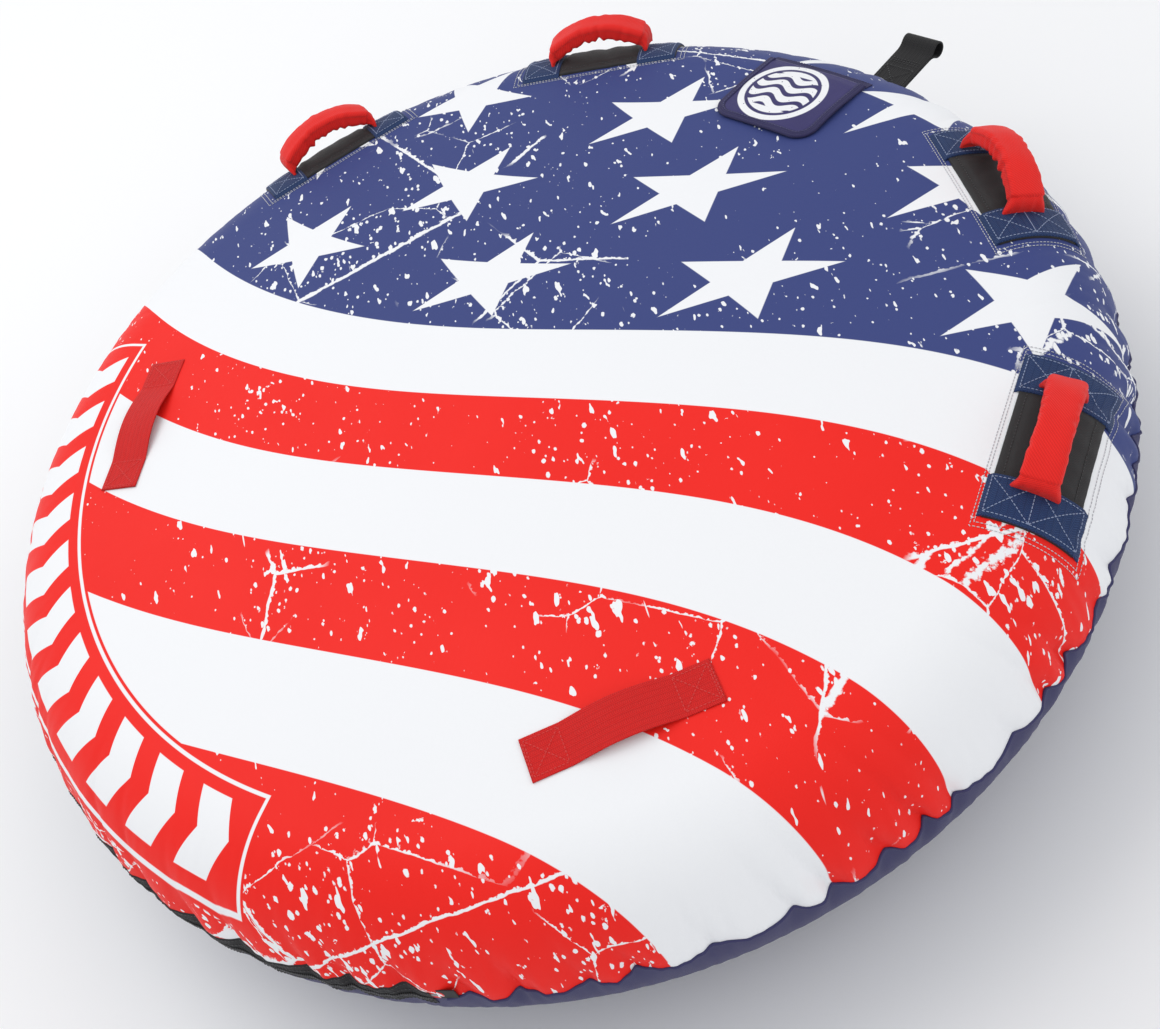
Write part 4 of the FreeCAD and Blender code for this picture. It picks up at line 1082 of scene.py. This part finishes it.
def make_strap(label, side, look):
    """Red webbing sewn down at both ends with a box, a cross and a row at each end."""
    angle = STRAP_ANGLE if side < 0 else 180 - STRAP_ANGLE
    origin, axes = deck_frame(STRAP_RADIUS, angle, STRAP_TURN * side, 0.0)
    half_wide, deep, hem, hump = 0.024, 0.0019, 0.0009, 0.0138
    own = np.random.default_rng(90 + side)
    lean = own.uniform(-0.3, 0.3)
    u, rise = strap_line()
    v = stepped(half_wide, 0.003, hem)
    roll = rolled(half_wide - np.abs(v), hem) * 0.5 + 0.5
    drop = u ** 2 / (2 * DECK_RADIUS)
    where_u, where_v = np.meshgrid(u, v, indexing="ij")
    sag = 0.0007 * np.sin(where_v * 90 + lean) * (rise[:, None] / hump)
    low = 0.0003 + rise[:, None] - drop[:, None] + sag + (1 - roll)[None] * deep * 0.5
    high = low + deep * roll[None]
    faces_at = [origin + np.stack([where_u, where_v, z], -1) @ axes for z in (high, low)]
    lay = np.stack([where_u, where_v], -1)
    strap = slab(f"grab_strap_{label}_webbing", *faces_at, look["red webbing"], lay, "red_webbing")
    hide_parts(f"grab_strap_{label}")
    top = 0.0003 + deep

    def where(a, b, level):
        height = np.interp(a, u, rise) - a ** 2 / (2 * DECK_RADIUS) + top + level
        return origin + np.stack([a, b, height], -1) @ axes
    runs = []
    for sign in (-1, 1):
        inner, outer = sign * 0.058, sign * 0.093
        for line in box_and_cross(inner, outer, -0.0195, 0.0195):
            runs.append(run_on(where, line, 0.0))
        runs.append(run_on(where, [(sign * 0.0952, -0.0195), (sign * 0.0952, 0.0195)], 0.0))
    stitches(f"grab_strap_{label}_sewing", runs, look["red thread"])


# ---------------------------------------------------------------- flap

FLAP_HALF, FLAP_FRONT, FLAP_TIP, FLAP_CORNER = 0.072, -0.0602, 0.060, 0.026
FLAP_CROWN, FLAP_LIFT = 0.900, 0.0048


def flap_half(y):
    """Half the flap's width at a place along it: it is rounded at its tip."""
    past = np.clip(y - (FLAP_TIP - FLAP_CORNER), 0, FLAP_CORNER)
    return FLAP_HALF - FLAP_CORNER + np.sqrt(np.maximum(FLAP_CORNER ** 2 - past ** 2, 0))


def flap_face(x, y, level):
    """A point at a level over the flap's underside."""
    frame_at, axes = deck_frame(VALVE_RADIUS, -90, 0, 0.0)
    ripple = 0.0007 * np.sin(x * 62 + 0.6) * np.sin(y * 48 + 1.1) + 0.0009 * np.exp(-(y / 0.03) ** 2)
    z = FLAP_LIFT - FLAP_CROWN + np.sqrt(FLAP_CROWN ** 2 - x ** 2 - y ** 2) + ripple + level
    return frame_at + np.stack([x, y, z], -1) @ axes


def make_flap(look):
    """The padded flap with its badge, bound edge and sewing."""
    rows = np.concatenate([np.linspace(FLAP_FRONT, FLAP_TIP - FLAP_CORNER, 44)[:-1],
                           FLAP_TIP - FLAP_CORNER + FLAP_CORNER * np.sin(np.linspace(0, math.pi / 2, 22))])
    y, a = np.meshgrid(rows, np.linspace(-1, 1, 71), indexing="ij")
    x = a * flap_half(y)
    inside = np.minimum(np.minimum(flap_half(y) - np.abs(x), FLAP_TIP - y), y - FLAP_FRONT)
    thick = 0.0012 + 0.0013 * smooth(inside, 0.0, 0.012) + 0.0006 * smooth(inside, 0.01, 0.05)
    lay = np.stack([x, y], -1)
    panel = slab("valve_flap_cloth", flap_face(x, y, thick)[:, ::-1], flap_face(x, y, 0.0)[:, ::-1],
                 look["flap"], lay[:, ::-1], "flap_cloth", "valve_flap")
    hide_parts("valve_flap_panel")
    corner = np.linspace(0, math.pi / 2, 16)
    right = [(FLAP_HALF - FLAP_CORNER + FLAP_CORNER * math.cos(t),
              FLAP_TIP - FLAP_CORNER + FLAP_CORNER * math.sin(t)) for t in corner]
    straight = [(FLAP_HALF, FLAP_FRONT + (FLAP_TIP - FLAP_CORNER - FLAP_FRONT) * t)
                for t in np.linspace(0, 1, 24, endpoint=False)]
    half_line = straight + right
    tip_half = FLAP_HALF - FLAP_CORNER
    top_line = [(w, FLAP_TIP) for w in np.linspace(tip_half, -tip_half, 22)[1:-1]]
    line = np.array(half_line + top_line + [(-px, py) for px, py in half_line[::-1]])
    inward = sideways(line)
    rim = ((-0.0007, 0.0010), (-0.0004, 0.0022), (0.0010, 0.0030), (0.0045, 0.0032), (0.0082, 0.0032),
           (0.0088, 0.0028), (0.0086, -0.0004), (0.0040, -0.0006), (0.0002, -0.0004), (-0.0006, 0.0002))
    rings = []
    for into, level in rim:
        place = line + inward * into
        rings.append(flap_face(place[:, 0], place[:, 1], level))
    points = np.stack(rings, 1)
    along = lengths(line)
    girth = np.linspace(0, 0.022, len(rim))
    lay = np.stack(np.broadcast_arrays(along[:, None], girth[None]), -1)
    faces = grid_faces(*points.shape[:2], closed=True, flipped=True)
    binding = piece("valve_flap_edge", points, faces, look["binding"], lay, "valve_flap")
    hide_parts("valve_flap_binding")
    sewn = line + inward * 0.0068
    low, high = (flap_face(sewn[:, 0], sewn[:, 1], level) for level in (0.0033, 0.0043))
    stitches("valve_flap_sewing", [(low, (high - low) / MM)], look["navy thread"],
             "valve_flap")
    where = sewn_at(((0.0, -VALVE_RADIUS), np.array([1.0, 0.0]), np.array([0.0, 1.0])))
    runs = [run_on(where, [(-0.069, v), (0.069, v)], 0.0011) for v in (-0.0722, -0.0642)]
    stitches("flap_hinge_sewing", runs, look["navy thread"])


# ---------------------------------------------------------------- tow loop

def tow_path():
    """The loop's line from its root out round the eye and back, as lengths out and up."""
    centre, radius, spread = 0.108, 0.0102, math.radians(48)
    touch = math.pi / 2 + spread
    lead = np.array([math.cos(touch), math.sin(touch)]) * radius
    join = centre - radius / math.sin(spread)
    upper = [(0.0, 0.0013), (0.03, 0.0013), (0.06, 0.0013), (join - 0.004, 0.0013)]
    wall = [(join + 0.003, 0.0036), (centre + lead[0], lead[1])]
    eye = [(centre + radius * math.cos(t), radius * math.sin(t)) for t in np.linspace(touch, -touch, 40)]
    lower = [(a, -b) for a, b in (upper + wall)[::-1]]
    return np.array(upper + wall[:-1] + eye + lower[1:])


def dense(path, step):
    """A path's points at even steps, and the distance along it to each."""
    at = lengths(path)
    where = np.linspace(0, at[-1], int(at[-1] / step))
    return np.stack([np.interp(where, at, path[:, n]) for n in range(path.shape[1])], -1), where


def make_tow_loop(look):
    """Two plies of black webbing that part round an eye, sewn together with boxes and bars."""
    path, along = dense(tow_path(), 0.0016)
    for _ in range(6):
        path[1:-1] = (path[:-2] + 2 * path[1:-1] + path[2:]) / 4
    normal = sideways(path)
    half, deep, hem = 0.0252, 0.00115, 0.001
    v = stepped(half, 0.003, hem)
    roll = 0.35 + 0.65 * rolled(half - np.abs(v), hem)
    root = np.array([0.0, -SEAM_RADIUS - 0.0063, SEAM_HEIGHT])

    def side(sign):
        line = path[:, None] + normal[:, None] * (sign * deep * roll)[None, :, None]
        across = np.broadcast_to(v[None], line.shape[:2])
        return root + np.stack([across, -line[..., 0], line[..., 1]], -1)
    lay = np.stack(np.broadcast_arrays(along[:, None], v[None]), -1)
    loop = slab("tow_loop_strap", side(1)[:, ::-1], side(-1)[:, ::-1], look["black webbing"], lay[:, ::-1],
                "black_webbing", "tow_loop")
    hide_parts("tow_loop_webbing")
    runs = []
    for sign in (1, -1):
        def where(a, b, level, sign=sign):
            return root + np.stack([b, -a, sign * (0.0026 + level)], -1)
        for line in box_and_cross(0.016, 0.058, -0.0205, 0.0205):
            runs.append(run_on(where, line, 0.0))
        for bar in (0.066, 0.0695, 0.073):
            runs.append(run_on(where, [(bar, -0.021), (bar, 0.021)], 0.0))
    stitches("tow_loop_sewing", runs, look["black thread"], "tow_loop", wide=0.0008)


# piece, node, half its width, half its length, distance from the seam, its face's level and its edge's,
# finish and slot
TOW_CLOTHS = (
    ("tow_patch", "tow_anchor_patch", 0.059, 0.0525, 0.0035, 0.0010, 0.0001, "under", "cover_under"),
    ("tow_anchor", "tow_anchor_webbing", 0.0254, 0.0385, 0.0035, 0.0034, 0.0009,
     "black webbing", "black_webbing"),
)


def make_tow_anchor(look):
    """The patch and the webbing under the front seam that hold the loop, with their sewing."""
    def where(u, v, level):
        return hull_skin(-math.pi / 2 + u / SEAM_RADIUS, v + 0 * u, level)

    for name, node, half_u, half_v, start, high, low, finish, slot in TOW_CLOTHS:
        u, v = np.meshgrid(stepped(half_u, 0.003), stepped(half_v, 0.003), indexing="ij")
        inside = np.minimum(half_u - np.abs(u), half_v - np.abs(v))
        points = where(u, v + half_v + start, low + (high - low) * rolled(inside, CLOTH_EDGE))
        made = piece(name + "_cloth", points, grid_faces(*u.shape, flipped=True), look[finish],
                     np.stack([v, u], -1))
        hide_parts(node)
    runs = [run_on(where, line, 0.0036) for line in box_and_cross(-0.021, 0.021, 0.010, 0.074)]
    stitches("tow_anchor_sewing", runs, look["black thread"])
    outline = [(-0.055, 0.008), (-0.055, 0.104), (0.055, 0.104), (0.055, 0.008)]
    stitches("tow_patch_sewing", [run_on(where, outline, 0.0012)], look["navy thread"])


# ---------------------------------------------------------------- finishes, stage and camera

def make_looks():
    """Every material, by the name that the makers of pieces use."""
    return {
        "print": cover_print(),
        "under": plain_cloth("cover underside", (0.040, 0.038, 0.125, 1), (0.030, 0.029, 0.098, 1)),
        "vinyl": moulded("bladder vinyl", (0.30, 0.32, 0.34, 1), 0.3, 200.0),
        "zip tape": plain_cloth("zip tape", (0.013, 0.013, 0.015, 1), (0.022, 0.022, 0.024, 1),
                                0.7, 0.0012),
        "zip coil": moulded("zip coil", (0.016, 0.016, 0.018, 1), 0.38),
        "zip metal": metal("zip metal", (0.33, 0.33, 0.35, 1)),
        "plastic": moulded("valve plastic", (0.022, 0.022, 0.025, 1)),
        "rubber": moulded("valve rubber", (0.035, 0.035, 0.037, 1), 0.65, 900.0),
        "flap": flap_print(),
        "binding": webbing("flap binding", (0.040, 0.034, 0.13, 1), (0.020, 0.018, 0.07, 1), 0.0015),
        "hook": hook_and_loop(),
        "pad": plain_cloth("grip pad", (0.016, 0.015, 0.016, 1), (0.024, 0.023, 0.024, 1),
                           0.62, 0.0021, 0.0003),
        "navy webbing": webbing("navy webbing", (0.016, 0.048, 0.155, 1), (0.007, 0.022, 0.08, 1)),
        "twill": twill("grip twill", (0.93, 0.017, 0.010, 1), (0.66, 0.008, 0.006, 1)),
        "foam": foam(),
        "black webbing": webbing("black webbing", (0.020, 0.019, 0.020, 1), (0.008, 0.008, 0.009, 1)),
        "red webbing": webbing("red webbing", (0.80, 0.009, 0.007, 1), (0.52, 0.005, 0.004, 1), 0.0021),
        "white thread": thread("white thread", (0.75, 0.76, 0.80, 1)),
        "pale thread": thread("pale thread", (0.34, 0.42, 0.64, 1)),
        "black thread": thread("black thread", (0.02, 0.02, 0.022, 1)),
        "navy thread": thread("navy thread", (0.06, 0.06, 0.20, 1)),
        "red thread": thread("red thread", (0.90, 0.03, 0.025, 1)),
    }


def finish_frame(look):
    """Finishes for the CAD parts that stay in sight."""
    finishes = {
        "zip_stops": "zip metal", "zip_slider_body": "zip metal", "zip_pull_tab": "zip metal",
        "zip_end_patches": "zip tape", "valve_flange": "vinyl", "valve_housing": "plastic",
        "valve_diaphragm": "rubber", "valve_seal_ring": "rubber", "valve_cap": "plastic",
        "valve_opening_binding": "binding", "flap_hook_patch": "hook", "flap_loop_patch": "hook",
        "flap_hinge_tape": "binding",
    }
    for node, finish in finishes.items():
        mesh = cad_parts[node].data
        mesh.materials.clear()
        mesh.materials.append(look[finish])


def make_stage():
    """A plain pale floor, an even sky and two soft lamps."""
    mesh = bpy.data.meshes.new("floor")
    reach, low = 40.0, -0.0004
    corners = [(x * reach, y * reach, low) for x, y in ((-1, -1), (1, -1), (1, 1), (-1, 1))]
    mesh.from_pydata(corners, [], [(0, 1, 2, 3)])
    mesh.materials.append(floor_finish())
    floor = bpy.data.objects.new("floor", mesh)
    bpy.context.scene.collection.objects.link(floor)
    world = bpy.data.worlds.new("studio")
    bpy.context.scene.world = world
    world.use_nodes = True
    world.node_tree.nodes["Background"].inputs["Color"].default_value = (0.97, 0.98, 1.0, 1)
    world.node_tree.nodes["Background"].inputs["Strength"].default_value = 0.80
    for name, at, power, size in (("key", (2.2, 0.5, 3.7), 54, 3.2), ("fill", (-3.0, -1.6, 2.8), 16, 3.2)):
        lamp = bpy.data.lights.new(name, "AREA")
        lamp.energy = power
        lamp.size = size
        lamp.color = (1.0, 0.985, 0.96)
        holder = bpy.data.objects.new(name, lamp)
        bpy.context.scene.collection.objects.link(holder)
        holder.location = at
        aim = Vector((0, 0, 0.25)) - Vector(at)
        holder.rotation_euler = aim.to_track_quat("-Z", "Y").to_euler()


def make_camera():
    """A camera over the rear left, looking forward and down."""
    right = Vector((-0.719454, -0.633672, -0.284335))
    down = Vector((-0.385683, 0.704968, -0.595205))
    ahead = Vector((0.577612, -0.318559, -0.751588))
    lens = bpy.data.cameras.new("camera")
    lens.sensor_width = 36.0
    lens.lens = 52.62
    lens.clip_start = 0.05
    lens.clip_end = 100.0
    camera = bpy.data.objects.new("camera", lens)
    bpy.context.scene.collection.objects.link(camera)
    turn = Matrix((right, -down, -ahead)).transposed().to_4x4()
    camera.matrix_world = Matrix.Translation((-1.19079, 0.65322, 1.62371)) @ turn
    bpy.context.scene.camera = camera
    bpy.context.scene.view_settings.view_transform = "Standard"


looks = make_looks()
make_cover(looks)
make_bladder(looks)
make_welt(looks)
make_zip(looks)
for index, (grip_label, grip_side, grip_angle, grip_turn, grip_lean) in enumerate(GRIPS):
    make_grip(index, grip_label, grip_side, grip_angle, grip_turn, grip_lean, looks)
make_strap("left", -1, looks)
make_strap("right", 1, looks)
make_flap(looks)
make_tow_loop(looks)
make_tow_anchor(looks)
finish_frame(looks)
make_stage()
make_camera()
